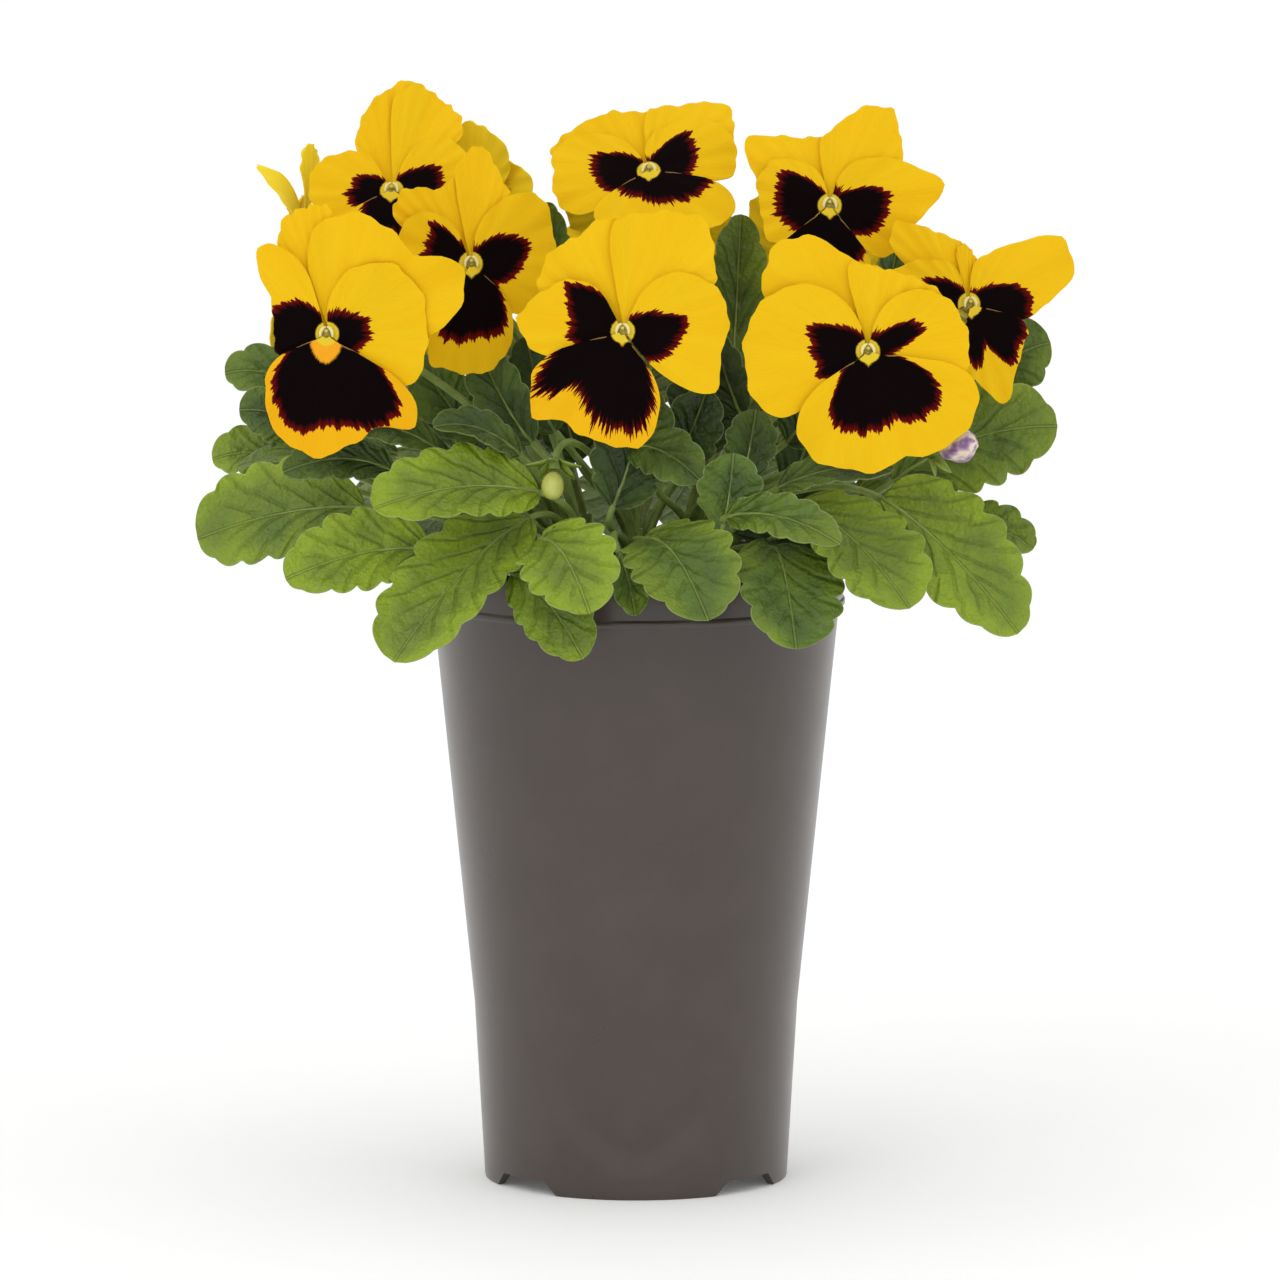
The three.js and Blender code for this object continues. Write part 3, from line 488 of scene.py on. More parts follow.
blocks = [foot_gap(q) for q in range(4)] + [drain_pin(i) for i in range(DRAIN_HOLES)]
print("cutters:", len(blocks))

# %% [markdown]
# The pot's plastic is polypropylene with a warm grey-brown pigment, from a mould whose steel was
# lightly blasted. That gives a satin skin with fine grain under a millimetre across, and a faint
# clearer skin over it, which a thin coat stands for: it draws the soft white line down each edge.
# Handling leaves faint pale dust and rubbing.

# %% Pot finish
pot_finish, add, shader = new_finish("moulded_polypropylene_taupe")
where = add("TexCoord", out="Object")
dust = add("TexNoise", where, Scale=45.0, Detail=6.0, Roughness=0.6)
dusty = add("MapRange", dust, 0.42, 0.75, 0.0, 0.5)
grain = add("TexNoise", where, Scale=1400.0, Detail=2.0)
add(
    shader,
    Base_Color=add("Mix RGBA", dusty, "#3E342F", "#493F39"),
    Roughness=add("MapRange", dust, 0.3, 0.7, 0.27, 0.36),
    Normal=add("Bump", Height=grain, Strength=0.12, Distance=0.0001),
    IOR=1.5,
    Coat_Weight=0.15,
    Coat_Roughness=0.16,
)
print("nodes of the pot's finish:", len(pot_finish.node_tree.nodes))

# %% Cut the pot
pot = make_piece("pot_moulding", [pot_patch], [pot_finish], ["pot"])
for block in blocks:
    cut = pot.modifiers.new(block.name, "BOOLEAN")
    cut.object = block
    cut.operation = "DIFFERENCE"
    cut.solver = "EXACT"
whole = bpy.data.meshes.new_from_object(pot.evaluated_get(bpy.context.evaluated_depsgraph_get()))
pot.modifiers.clear()
pot.data = whole
whole.set_sharp_from_angle(angle=POT_SHARP)
for block in blocks:
    bpy.data.objects.remove(block)
print("pot faces:", len(whole.polygons))

# %% [markdown]
# Compost is a heap of dark crumbs. A closed lump fills the pot under a gently domed top, and a
# few hundred separate crumbs lie on it. A crumb is a squashed ball of six sides, with its own
# size and turn, because from above only a broken, gritty surface shows between the leaves.

# %% Compost
SOIL_CROWN = 3
SOIL_GAP = 0.4  # between the compost and the wall
LUMP = 0.9  # height of the soft waves on the compost
GRIT = 0.8  # and of the steps from point to point
CRUMBS = 420
CRUMB_LEAST = 0.7
CRUMB_SPREAD = 1.7


def soil_patch():
    """Rings from the bottom to the top's middle; the dome is crown (1 - r r), with lumps."""
    turns = np.arange(0, 360, 6.0)
    floor_level = FLOOR_UNDERSIDE + WALL + SOIL_GAP
    bend = FLOOR_UNDERSIDE + 8
    edge = inner_radius(SOIL_TOP) - SOIL_GAP
    rings = [around(turns, 0.01, floor_level), around(turns, inner_radius(floor_level) - 4, floor_level)]
    rings += [around(turns, inner_radius(bend) - SOIL_GAP, bend), around(turns, edge, SOIL_TOP - 2)]
    for share in np.linspace(0.97, 0.02, 20):
        lump = LUMP * np.sin(0.37 * turns + 31 * share) * np.sin(23 * share + 0.11 * turns)
        grit = GRIT * (draw(np.round(turns + 977 * share)) - 0.5)
        rings.append(around(turns, edge * share, SOIL_TOP + SOIL_CROWN * (1 - share**2) + lump + grit))
    rings.append(around(turns, 0.01, SOIL_TOP + SOIL_CROWN))
    return ringed(np.stack(rings))


def crumb(i):
    """A ball of rings at sines and cosines, squashed and turned by its own draws."""
    azimuth, share = 360 * draw(3 * i), math.sqrt(draw(3 * i + 1)) * 0.96
    size = CRUMB_LEAST + CRUMB_SPREAD * draw(3 * i + 2) ** 3
    centre = around(azimuth, (inner_radius(SOIL_TOP) - 1.5) * share, SOIL_TOP + SOIL_CROWN * (1 - share**2))
    down = np.linspace(0.12, 0.88, 4) * np.pi
    line = centre + np.stack([0 * down, 0 * down, -size * np.cos(down)], axis=1)
    side = unit(np.array([draw(i + 700.0) - 0.5, draw(i + 900.0) - 0.5, 0.0]))
    other = np.cross(side, [0, 0, 1])
    girth = size * np.sin(down)[:, None] * (0.8 + 0.5 * draw(np.arange(24.0).reshape(4, 6) + 31 * i))
    return tube(line, side, other * 1.3, girth, sides=6)


levels = np.linspace(FLOOR_UNDERSIDE + WALL, SOIL_TOP, 100)
litres = np.mean(np.pi * inner_radius(levels) ** 2) * (levels[-1] - levels[0]) / 1e6
print("compost, litres:", round(litres, 2))

# %% Compost finish
soil_finish, add, shader = new_finish("damp_peat_compost")
clods = add("TexNoise", add("TexCoord", out="Object"), Scale=420.0, Detail=6.0, Roughness=0.7)
add(
    shader,
    Base_Color=add("ValToRGB", clods, stops=[(0.3, "#1A130F"), (0.75, "#4A382A")]),
    Roughness=0.93,
    Normal=add("Bump", Height=clods, Strength=0.8, Distance=0.0012),
)
soil_patches = [soil_patch()] + [crumb(i) for i in range(CRUMBS)]
make_piece("compost", soil_patches, [soil_finish], ["soil"])
print("crumbs:", CRUMBS)

# %% [markdown]
# The plant is nine short leafy stems from one clump. Each leaf here is written as a gardener
# would point at it: where its tip and its blade's base are, how wide it is, how far it arches,
# which way its upper side faces, and how light its green is, from 0, dark, to 1, yellow-green.
# That green is partly the leaf's own tone and partly painted shade: the leaves deep inside the
# clump get the darkest greens as the shade there.
# The back, which the photograph doesn't show, follows one rule of six places.

# %% Stems and leaves
SHOOTS = {
    # azimuth and distance from the pot's axis
    "front": (0, 24),
    "front_right": (46, 24),
    "right": (92, 24),
    "back_right": (138, 24),
    "back": (182, 24),
    "back_left": (-138, 24),
    "left": (-92, 24),
    "front_left": (-46, 24),
    "middle": (180, 4),
}
LEAVES = {
    # tip, base, width, arch, azimuth and elevation that it faces, green, and the widest place
    "front": [
        ((-14, -101, 191), (-28, -70, 210), 31, 5, (-5, 30), 0.8),
        ((0, -74, 187), (-5, -64, 205), 12, 2, (0, 20), 0.5),
        ((22, -94, 188), (4, -60, 209), 35, 6, (8, 34), 0.52),
        ((4, -50, 255), (-7, -50, 218), 26, -3, (0, 15), 0.25),
        ((-16, -84, 175), (-38, -66, 199), 23, 4, (-10, 22), 0.75),
        ((20, -60, 227), (-4, -48, 236), 18, 4, (0, 15), 0.4),
    ],
    "front_right": [
        ((49, -85, 178), (43, -56, 205), 35, 6, (18, 32), 0.6),
        ((62, -90, 211), (28, -62, 216), 16, 4, (10, 25), 0.45),
        ((84, -72, 189), (50, -46, 218), 36, 5, (24, 38), 0.85, 0.56),
        ((118, -55, 179), (76, -38, 219), 39, 4, (20, 30), 0.83, 0.4),
        ((30, -64, 236), (27, -60, 214), 21, -3, (5, 25), 0.42),
        ((79, -66, 231), (44, -54, 224), 16, 3, (0, 50), 0.35),
        ((22, -46, 254), (10, -46, 228), 20, -3, (-5, 15), 0.12),
        ((24, -30, 270), (33, -34, 244), 15, -2, (-20, 15), 0.1),
        ((37, -50, 248), (33, -54, 228), 17, -2, (5, 20), 0.2),
    ],
    "right": [
        ((131, -24, 240), (80, -26, 223), 37, 5, (12, 28), 0.6),
        ((124, -12, 200), (102, -8, 207), 18, 3, (30, 32), 0.6),
        ((130, 8, 263), (100, 4, 242), 29, 4, (15, 28), 0.5),
        ((110, 30, 190), (70, 16, 214), 30, 8, (90, 40), 0.6),
        ((82, 6, 294), (74, 4, 266), 14, -3, (20, 10), 0.3),
        ((58, -30, 262), (47, -22, 235), 19, -4, (10, 20), 0.1),
        ((122, 22, 226), (78, 14, 230), 28, 8, (80, 45), 0.5),
        ((76, -12, 262), (56, -13, 230), 22, -3, (88, 12), 0.35),
        ((70, 26, 262), (52, 22, 228), 24, -3, (95, 14), 0.4),
        ((58, 6, 252), (50, 4, 222), 28, -3, (14, 15), 0.3),
        ((68, -12, 204), (36, -8, 207), 28, 3, (10, 20), 0.1),
    ],
    "middle": [
        ((33, 24, 302), (30, 8, 252), 20, -5, (5, 12), 0.55),
        ((-28, 34, 305), (-22, 24, 274), 12, -3, (-10, 15), 0.3),
        ((-34, -22, 268), (-25, -20, 238), 19, -4, (-20, 20), 0.15),
        ((24, 10, 264), (18, 6, 228), 28, -4, (20, 10), 0.08),
        ((-25, 4, 258), (-18, 4, 226), 20, -3, (-10, 10), 0.08),
    ],
    "front_left": [
        ((-74, -84, 174), (-33, -48, 214), 38, 5, (-28, 32), 0.82, 0.54),
        ((-80, -84, 221), (-30, -56, 223), 31, 4, (-8, 42), 0.85),
        ((-108, -56, 196), (-64, -52, 205), 29, 3, (-18, 32), 0.9),
        ((-109, -46, 228), (-75, -42, 228), 15, 4, (-15, 25), 0.2),
        ((-62, -64, 244), (-36, -50, 234), 16, 4, (-10, 50), 0.3),
        ((-50, -32, 268), (-32, -34, 236), 18, -3, (-15, 20), 0.3),
    ],
    "left": [
        ((-136.3, -26, 205), (-84, -36, 216), 37, 3, (-15, 34), 0.75, 0.56),
        ((-129, 10, 253), (-102, 4, 246), 20, 4, (-15, 35), 0.4),
        ((-124, -5, 243), (-98, -10, 232), 21, 4, (-15, 30), 0.35),
        ((-133, 8, 226), (-108, 4, 225), 20, 3, (-25, 40), 0.8),
        ((-96, -46, 242), (-62, -34, 234), 18, 4, (-10, 50), 0.35),
        ((-124, -14, 226), (-74, -22, 231), 17, 4, (-15, 68), 0.45),
        ((-68, -22, 262), (-48, -16, 236), 19, -3, (-20, 25), 0.3),
        ((-106, 32, 190), (-68, 16, 214), 29, 8, (-88, 40), 0.6),
        ((-74, -9, 260), (-54, -10, 230), 20, -3, (-88, 12), 0.35),
        ((-68, 27, 262), (-52, 24, 228), 24, -3, (-98, 14), 0.4),
        ((-60, 9, 254), (-51, 6, 222), 28, -3, (-16, 15), 0.25),
    ],
}
BACK_PLACES = [
    # tip's azimuth from the stem's own, distance and height, length, fall, width, arch, green
    (-17, 100, 182, 50, 34, 34, 10, 0.7),
    (2, 94, 188, 40, 24, 31, 8, 0.6),
    (18, 103, 205, 50, 16, 31, 9, 0.75),
    (-10, 105, 224, 50, 4, 30, 9, 0.5),
    (9, 94, 244, 42, -8, 27, 6, 0.45),
    (-8, 68, 262, 32, -22, 24, -2, 0.35),
]


def back_leaf(stem, seed, turn, reach, height, length, fall, width, arch, green):
    """One of a back stem's six leaves: its place on the rule, moved a little by draws."""
    azimuth = SHOOTS[stem][0] + turn + 4 * (draw(seed) - 0.5)
    distance = reach + 5 * (draw(seed + 200) - 0.5)
    top = height + 5 * (draw(seed + 400) - 0.5)
    level = math.sqrt(length**2 - fall**2)
    tip = around(azimuth, distance, top)
    base = around(azimuth - 0.3 * turn, distance - level, top + fall)
    return (tip, base, width, arch, (azimuth, 42 if fall > 0 else 28), green)


for s, stem in enumerate(["back_right", "back", "back_left"]):
    LEAVES[stem] = [back_leaf(stem, 20 * s + i, *place) for i, place in enumerate(BACK_PLACES)]
print("leaves:", sum(map(len, LEAVES.values())))

# %% [markdown]
# A leaf's stalk leaves its stem upwards, swings out and runs on into the midrib. The blade is a
# grid over that midrib: its half width is a root curve that is widest in the middle, and the edge
# has the rounded teeth that botanists call crenate. The side veins run out and forward to the
# teeth, so the teeth and the veins come from one phase number, and each tooth gets its vein.

# %% Leaf blades
BLADE_ROWS = 64
BLADE_COLUMNS = 17
LEAF_THICKNESS = 0.45
LEAF_CUP = 0.2  # the edges' rise, as a share of the half width
LEAF_WAVE = 0.8  # waves along the edges
HEART = 0.24  # how far a round blade's base reaches back, as a share of its width
TOOTH_DEPTH = 0.18
VEIN_LEAN = 0.36
QUILT = 0.75  # how far the skin rises between two veins


def leaf_blade(midrib, width, faces, seed, green, widest=0.5):
    """Rows along the midrib, columns across. Half width goes as v^a sqrt(1 - v), with its peak
    at the widest place, and is cut between the teeth by 1 - sin(pi t^1.5)^0.5 for a tooth's share
    t, which leans each tooth forward; the edges rise as the power 1.6 of the share across, and a
    wide blade's base reaches back."""
    v = np.sin(np.linspace(0.0, 0.5, BLADE_ROWS) * np.pi) ** 2
    v = (0.35 * v + 0.65 * np.linspace(0, 1, BLADE_ROWS))[:, None]
    s = np.linspace(-1, 1, BLADE_COLUMNS)[None]
    off = np.abs(s)
    middle, along, length = follow(midrib, v[:, 0])
    side, normal = frame_along(along, faces)
    teeth = np.interp(length, [24, 34, 46, 62], [3.4, 4.2, 4.8, 5.4])
    lean = VEIN_LEAN * (0.9 + 0.3 * draw(seed + 2))
    other_side = 0.25 * np.clip(s / 0.08, -1, 1) * (0.6 + 0.8 * draw(seed + 3))
    phase = teeth * (v * 1.1 - lean * off - 0.06 * np.sin(np.pi * off)) + other_side
    edge = phase[:, [0, -1]]
    notch = 1 - np.sin(np.pi * (edge % 1) ** 1.5) ** 0.5
    notch = notch * (smooth((v - 0.08) / 0.12) * smooth((1.0 - v) / 0.05))
    notch = TOOTH_DEPTH * (0.75 + 0.5 * draw(np.floor(edge) + seed)) * notch
    cut = np.where(s < 0, notch[:, :1], notch[:, 1:])
    rise = 0.5 * widest / (1 - widest)
    peak = widest**rise * math.sqrt(1 - widest)
    half = width / 2 * v**rise * np.sqrt(1 - v) / peak
    half = np.maximum(half, 0.9 * smooth((1.002 - v) / 0.03)) * (1 - cut)
    lift = LEAF_CUP * half * off**1.6
    lift = lift + LEAF_WAVE * off**3 * np.sin(9 * v + 6 * draw(seed) + 1.5 * s) * (half / 12)
    fading = 1 - smooth((v - 0.7) / 0.22)
    quilt = np.abs(np.sin(np.pi * phase)) * np.sin(np.pi * off) ** 0.7
    lift = lift + QUILT * quilt * smooth(half / 6) * fading
    heart = HEART * smooth((width / length - 0.66) / 0.2) * width
    back = heart * np.sin(np.pi * off**0.8) * (1 - smooth(v / 0.3)) * smooth(half / 4)
    grid = middle[:, None] + side[:, None] * (s * half)[..., None] + normal[:, None] * lift[..., None]
    return blade(
        grid - along[:, None] * back[..., None],
        normal[:, None] * LEAF_THICKNESS / 2,
        across=s * half,
        margin=(1 - off) * half,
        phase=phase,
        spacing=length / teeth,
        fading=fading,
        green=green,
        seed=draw(seed),
    )


FACING = np.array([0, -1, 1])
example = leaf_blade([(0, 0, 0), (0, -9, 9), (0, -20, 20)], 20, FACING, seed=0, green=0.5)
print("points of a leaf's blade:", len(example["points"]))


# %% Leaf stalks and midribs
PETIOLE_RADIUS = 1.1
PETIOLE_STEPS = 22
MIDRIB_STEPS = 16
MIDRIB_REACH = 0.9  # the midrib fades out before the tip


def leaf_lines(stem, tip, base, arch, order):
    """Control points of the stalk, a cubic, and of the midrib, a quadratic."""
    azimuth, distance = SHOOTS[stem]
    tip, base = np.array(tip, float), np.array(base, float)
    root = around(azimuth, distance, SOIL_TOP + 3 + 2.6 * order)
    crown = base + 0.45 * (tip - base) + [0, 0, 2 * arch]
    level = math.hypot(*(base - root)[:2])
    first = root + 0.12 * (base - root)
    first[2] = max(root[2] + 16, root[2] + 0.45 * (base[2] - root[2]))
    second = base - unit(crown - base) * (0.35 * level + 3)
    return [root, first, second, base], [base, crown, tip]


def direction_of(azimuth, elevation):
    """The unit direction that looks along an azimuth and up by an elevation."""
    up = math.radians(elevation)
    return around(azimuth, math.cos(up), math.sin(up))


def leaf_patches(stem, order, tip, base, width, arch, faces, green, *widest):
    """A leaf's blade, its stalk, which thins a little on its way to the blade, and its midrib."""
    stalk, midrib = leaf_lines(stem, tip, base, arch, order)
    seed = 10 * order + sum(map(ord, stem))
    towards = direction_of(*faces)
    middle, along, _ = follow(stalk, np.linspace(0, 1, PETIOLE_STEPS))
    last = frame_along(along, towards)[0][-1]
    side = unit(last - along * (along @ last)[:, None])
    taper = np.linspace(1.2, 0.95, PETIOLE_STEPS) * PETIOLE_RADIUS
    made = [leaf_blade(midrib, width, towards, seed, green, *widest)]
    made.append(tube(middle, side, np.cross(side, along), taper, finish=1, green=green))
    middle, along, _ = follow(midrib, np.linspace(0, MIDRIB_REACH, MIDRIB_STEPS))
    side, normal = frame_along(along, towards)
    ridge = np.linspace(0.95, 0.12, MIDRIB_STEPS) * PETIOLE_RADIUS
    made.append(tube(middle - normal * 0.2, side, normal * 0.8, ridge, 8, finish=1, green=green))
    return made


print("parts of a leaf:", len(leaf_patches("front", 0, *LEAVES["front"][0])))

# %% [markdown]
# A bloom is a flat face of five petals on a bent stalk. It is set by its centre and by how it is
# turned: yaw to the side and pitch upwards. No two pansies are cut alike, so each petal is a fan of
# its own: how long it is at even steps between two directions in the face, which are angles from
# the right as on a clock face read backwards. The dark blotches are written the same way.

# %% Even blooms
LENGTH_SPREAD = 0.18
SIDE_BLOTCH = (0.47, 0.49, 0.51, 0.53, 0.56, 0.63, 0.52, 0.4, 0.3)
EVEN_FANS = [
    # first and last direction, number of its first draw, then lengths as shares of one radius
    (73, 163, 0, 0.62, 0.98, 1, 0.62),
    (17, 107, 10, 0.62, 1, 0.97, 0.62),
    (130, 226, 20, 0.62, 1, 0.97, 0.62),
    (-46, 50, 30, 0.62, 0.98, 1, 0.62),
    (212, 328, 40, 0.6, 0.95, 1, 0.95, 0.6),
    (118, 222, 1000, *SIDE_BLOTCH[::-1]),
    (-42, 62, 1010, *SIDE_BLOTCH),
    (215, 325, 1020, 0.4, 0.66, 0.75, 0.77, 0.6, 0.77, 0.75, 0.66, 0.4),
]


def even_fans(radius, seed):
    """The fans of a bloom whose petals are cut nearly alike: each length is its share of the
    radius, times 1 + spread (d - 1/2) for a draw d of its own."""
    made = []
    for first, last, start, *shares in EVEN_FANS:
        moved = 1 + LENGTH_SPREAD * (draw(seed + start + np.arange(len(shares))) - 0.5)
        made.append((first, last, *(np.multiply(shares, radius) * moved)))
    return made


def even_bloom(stem, at, turned, radius, bends, seed):
    """A bloom of even fans."""
    fans = even_fans(radius, seed)
    return {"stem": stem, "at": at, "turned": turned, "bends": bends, "fans": fans}


print("lengths of an even petal, mm:", np.round(even_fans(30, 0)[0][2:], 1))

# %% [markdown]
# The nine blooms that face the front are written out one by one. All lengths are in millimetres
# and all angles in degrees. A bloom's fans are its upper left, upper right, left, right and lower
# petal, and then the blotches on the last three. The tongue is how far the orange patch runs
# down the lower petal, and ragged is how much the lower blotch breaks up into streaks.

# %% The blooms
BLOOMS = {
    "a": {
        "stem": "middle", "at": (-76, -8, 312), "turned": (-6, 30), "bends": (0, -8, 12, -6, -6),
        "fans": [
            (72, 132, 37, 41, 34, 26.5, 20),
            (42, 95, 29, 34, 37, 39, 35),
            (120, 215, 15.5, 20.5, 25, 26, 25, 22),
            (-20, 75, 19, 22, 25, 26, 24, 14),
            (210, 330, 19, 25, 27.5, 28, 26.5, 23.5, 19),
            (125, 215, 6, 9, 12.5, 13.5, 14.5, 14.5, 12),
            (-20, 65, 13, 15.5, 17, 17.5, 12, 7),
            (210, 330, 11, 14, 16, 16.5, 16.5, 15, 12),
        ],
    },
    "b": even_bloom("back_left", (-52, 24, 308), (152, 14), 26, (-12, -8, -14, 8, 0), 300),
    "c": {
        "stem": "left", "at": (-107, 16, 302), "turned": (-98, 8), "bends": (14, 88, -10, -6, -10),
        "fans": [
            (88, 160, 15, 24.5, 24, 13),
            (-14, 60, 16, 28, 31, 18),
            (140, 220, 9, 17, 16, 9),
            (-40, 40, 9, 14, 14, 9),
            (225, 315, 9, 14, 14, 14, 9),
            *even_fans(16, 700)[5:],
        ],
    },
    "d": {
        "stem": "front_left", "at": (-94.5, -66, 273), "turned": (-12, 4),
        "bends": (14, 6, -8, -14, -6), "tongue": 9, "deep": 1,
        "fans": [
            (86, 124, 39, 40, 38.5, 29),
            (-4, 108, 33, 41, 46, 36, 38.5, 38.5, 35, 29),
            (108, 210, 25, 34.5, 21, 17.5, 17, 18),
            (-42, 90, 28.5, 31.5, 31, 31.5, 30, 22, 11),
            (205, 330, 21.5, 25, 33, 37, 38, 35, 32.5, 39, 33),
            (112, 205, 8, 13, 17, 20, 21, 21, 20),
            (-40, 100, 11, 12.5, 14.5, 14, 11, 9, 8, 7),
            (205, 328, 14, 22, 28, 32.5, 32, 28.5, 31, 33.5, 34, 22),
        ],
    },
    "e": {
        "stem": "front_left", "at": (-51, -38, 292), "turned": (8, 8), "bends": (4, 0, 10, -20, -14),
        "fans": [
            (92, 152, 28, 25, 31, 28),
            (52, 100, 23, 28, 37, 30),
            (110, 262, 14, 23, 24, 17, 18, 24, 14),
            (-52, 80, 24, 25, 28, 30, 13),
            (232, 318, 20, 33, 34, 34.5, 31, 24, 14),
            (115, 200, 8, 18.5, 16, 16, 17, 16),
            (-35, 75, 12, 15.5, 18, 20, 15.5, 9, 6.5),
            (235, 315, 20, 25, 25.3, 24, 25, 22, 14),
        ],
    },
    "f": {
        "stem": "middle", "at": (4, -8, 318), "turned": (0, 38), "bends": (0, -12, -10, -12, 6),
        "fans": [
            (78, 165, 28, 25, 25, 27, 29.5, 32, 36),
            (15, 95, 28.5, 31, 37.5, 33, 28, 24.5),
            (115, 222, 9.5, 21, 31, 30, 30.5, 25),
            (-8, 100, 25, 28.5, 30, 25, 17, 9.5),
            (215, 352, 23.5, 25, 25.5, 26, 26, 27.5, 30.5, 30, 25),
            (120, 222, 6, 9, 14, 19.5, 19.5, 18, 17.5, 15, 12),
            (-8, 85, 14, 15, 17.5, 19, 20.5, 10, 6),
            (215, 352, 13, 12.6, 12.6, 13, 14, 15, 18, 20, 21),
        ],
    },
    "g": {
        "stem": "front", "at": (-4, -68, 274), "turned": (-4, 8), "bends": (-6, -12, -8, -12, 6),
        "deep": 0.7, "ragged": 1,
        "fans": [
            (85, 165, 34.5, 35.5, 32.5, 33.5, 31, 26.5),
            (24, 100, 32, 36, 43, 40, 36.5, 35),
            (118, 210, 15, 23, 28, 33, 28.5, 18),
            (-50, 66, 19, 34.5, 31, 32, 33, 30, 24, 16),
            (196, 306, 27.5, 32.5, 38, 33, 34.5, 35, 36.5, 29.5, 21),
            (118, 210, 14, 19, 23.7, 20, 18.5, 17.5, 17, 16, 15),
            (-50, 60, 13, 15, 16.5, 18, 19.5, 21.5, 15, 11, 8, 7),
            (196, 306, 24, 30, 34, 24, 25, 29, 31, 32.5, 31, 25, 14),
        ],
    },
    "h": {
        "stem": "right", "at": (60, -26, 309), "turned": (2, 16), "bends": (-14, -10, -12, -14, -14),
        "fans": [
            (84, 168, 24, 23, 24.5, 29, 34.5, 26, 22),
            (28, 100, 28, 31, 37.5, 33.5, 25.5, 21.5),
            (100, 218, 9.5, 16, 22.5, 24, 21.5, 21.5, 23.5),
            (-52, 74, 23.5, 25, 27.5, 37, 27.5, 19, 11),
            (218, 308, 23.5, 28, 29.5, 29.5, 27.5, 24),
            (108, 218, 5, 8, 13, 19, 18.5, 18, 17.5, 17.6, 16.5, 15, 14),
            (-52, 48, 13, 15, 17.5, 18.5, 19, 20.6, 16, 10, 7),
            (218, 308, 22.5, 19, 20, 22, 22.5, 22, 19),
        ],
    },
    "i": {
        "stem": "front_right", "at": (71, -70, 268), "turned": (2, 8), "bends": (-6, -10, -8, 0, -10),
        "fans": [
            (70, 158, 26, 26.5, 29, 39, 43.5, 40, 34),
            (25, 105, 29, 29, 27, 26, 26.5, 30),
            (105, 222, 11, 24, 33, 37.5, 38, 38, 35.5),
            (-25, 78, 29.5, 31, 31, 29, 22, 11),
            (214, 352, 25, 34, 37, 37, 37, 34.5, 38, 38.5, 37.5, 33),
            (105, 222, 7, 8, 11, 15, 20.5, 19, 18, 17.5, 18, 11),
            (-25, 65, 6, 8, 11, 19, 17.5, 9.5, 7),
            (214, 352, 10, 15, 24, 26, 26, 25.5, 23.5, 26.5, 28, 27, 22, 9),
        ],
    },
    "j": {
        "stem": "right", "at": (103, -34, 279), "turned": (20, 8), "bends": (-10, -20, -8, -6, -14),
        "fans": [
            (80, 145, 18, 21, 25.5, 34, 29),
            (60, 100, 13, 15, 19, 17),
            (105, 200, 13, 17, 23, 28, 26, 19),
            (-20, 82, 20, 25, 39.5, 39.5, 25, 17, 13),
            (250, 345, 19.5, 22, 25.5, 34, 26.5, 22.5, 21, 20),
            (115, 200, 7, 12, 16.5, 17, 15, 13),
            (-20, 55, 21, 22, 22.5, 19, 13, 9, 6),
            (250, 345, 14, 19, 20.5, 14.5, 23.5, 22.5, 22, 19),
        ],
    },
    "m": even_bloom("back_right", (62, 60, 276), (144, 10), 34, (-8, -10, -12, -8, 6), 360),
    "n": even_bloom("back", (4, 72, 281), (178, 6), 34, (-10, -6, -8, -14, 4), 420),
    "o": even_bloom("back_left", (-60, 62, 278), (-148, 8), 35, (-8, -12, -14, -6, 8), 480),
    "p": even_bloom("right", (106, 44, 259), (112, 10), 32, (-10, -10, -20, -12, 4), 540),
    "q": even_bloom("left", (-106, 42, 262), (-114, 10), 32, (-8, -10, -12, -16, 6), 600),
    "r": even_bloom("middle", (4, 40, 303), (176, 30), 25, (-6, -8, -12, -10, 4), 660),
}
print("blooms:", len(BLOOMS))


# %% Faces of the blooms
PETAL_DIRECTIONS = np.array([118, 62, 178, 2, 270])
PETAL_LAYERS = (-2.9, -1.5, 0, 0, 1.5)  # in front of the face
LOWER = 4  # the lower petal's number
BOSS_BACK = -5  # where the back of the throat is


def face_of(centre, yaw, pitch):
    """Centre, right, up and facing: facing is (sin a cos b, -cos a cos b, sin b), and up is the
    direction square to it that rises the most."""
    a, b = math.radians(yaw), math.radians(pitch)
    facing = np.array([math.sin(a) * math.cos(b), -math.cos(a) * math.cos(b), math.sin(b)])
    up = np.array([-math.sin(a) * math.sin(b), math.cos(a) * math.sin(b), math.cos(b)])
    return np.array(centre, float), np.cross(up, facing), up, facing


def in_face(face, x, y, z):
    """centre + x right + y up + z facing."""
    centre, right, up, facing = face
    x, y, z = (np.asarray(value, float)[..., None] for value in (x, y, z))
    return centre + x * right + y * up + z * facing


def bend_round(bends, turn):
    """The face's bend in one direction: the petals' own bends, blended round the circle."""
    below = (PETAL_DIRECTIONS + 90) % 360
    order = np.argsort(below)
    starts, own = below[order], np.array(bends, float)[order]
    angle = (turn + 90) % 360
    i = np.searchsorted(starts, angle, side="right") - 1
    after = (i + 1) % len(starts)
    span = np.where(after == 0, 360, starts[after]) - starts[i]
    mix = smooth((angle - starts[i]) / span)
    return own[i] * (1 - mix) + own[after] * mix


print("bend between two petals:", bend_round((0, 10, 0, 0, 0), np.array([90.0])))

# %% [markdown]
# An outline has a handful of lengths, and a petal's edge runs softly through them. A straight
# line from length to length keeps the corners, a cubic through them rounds them off, and the
# petal takes the middle of the two. A blotch's number at a point is how many millimetres the
# point lies inside its outline, so the finish can tear the edge into teeth.

# %% Outlines
NO_BLOTCH = -20.0


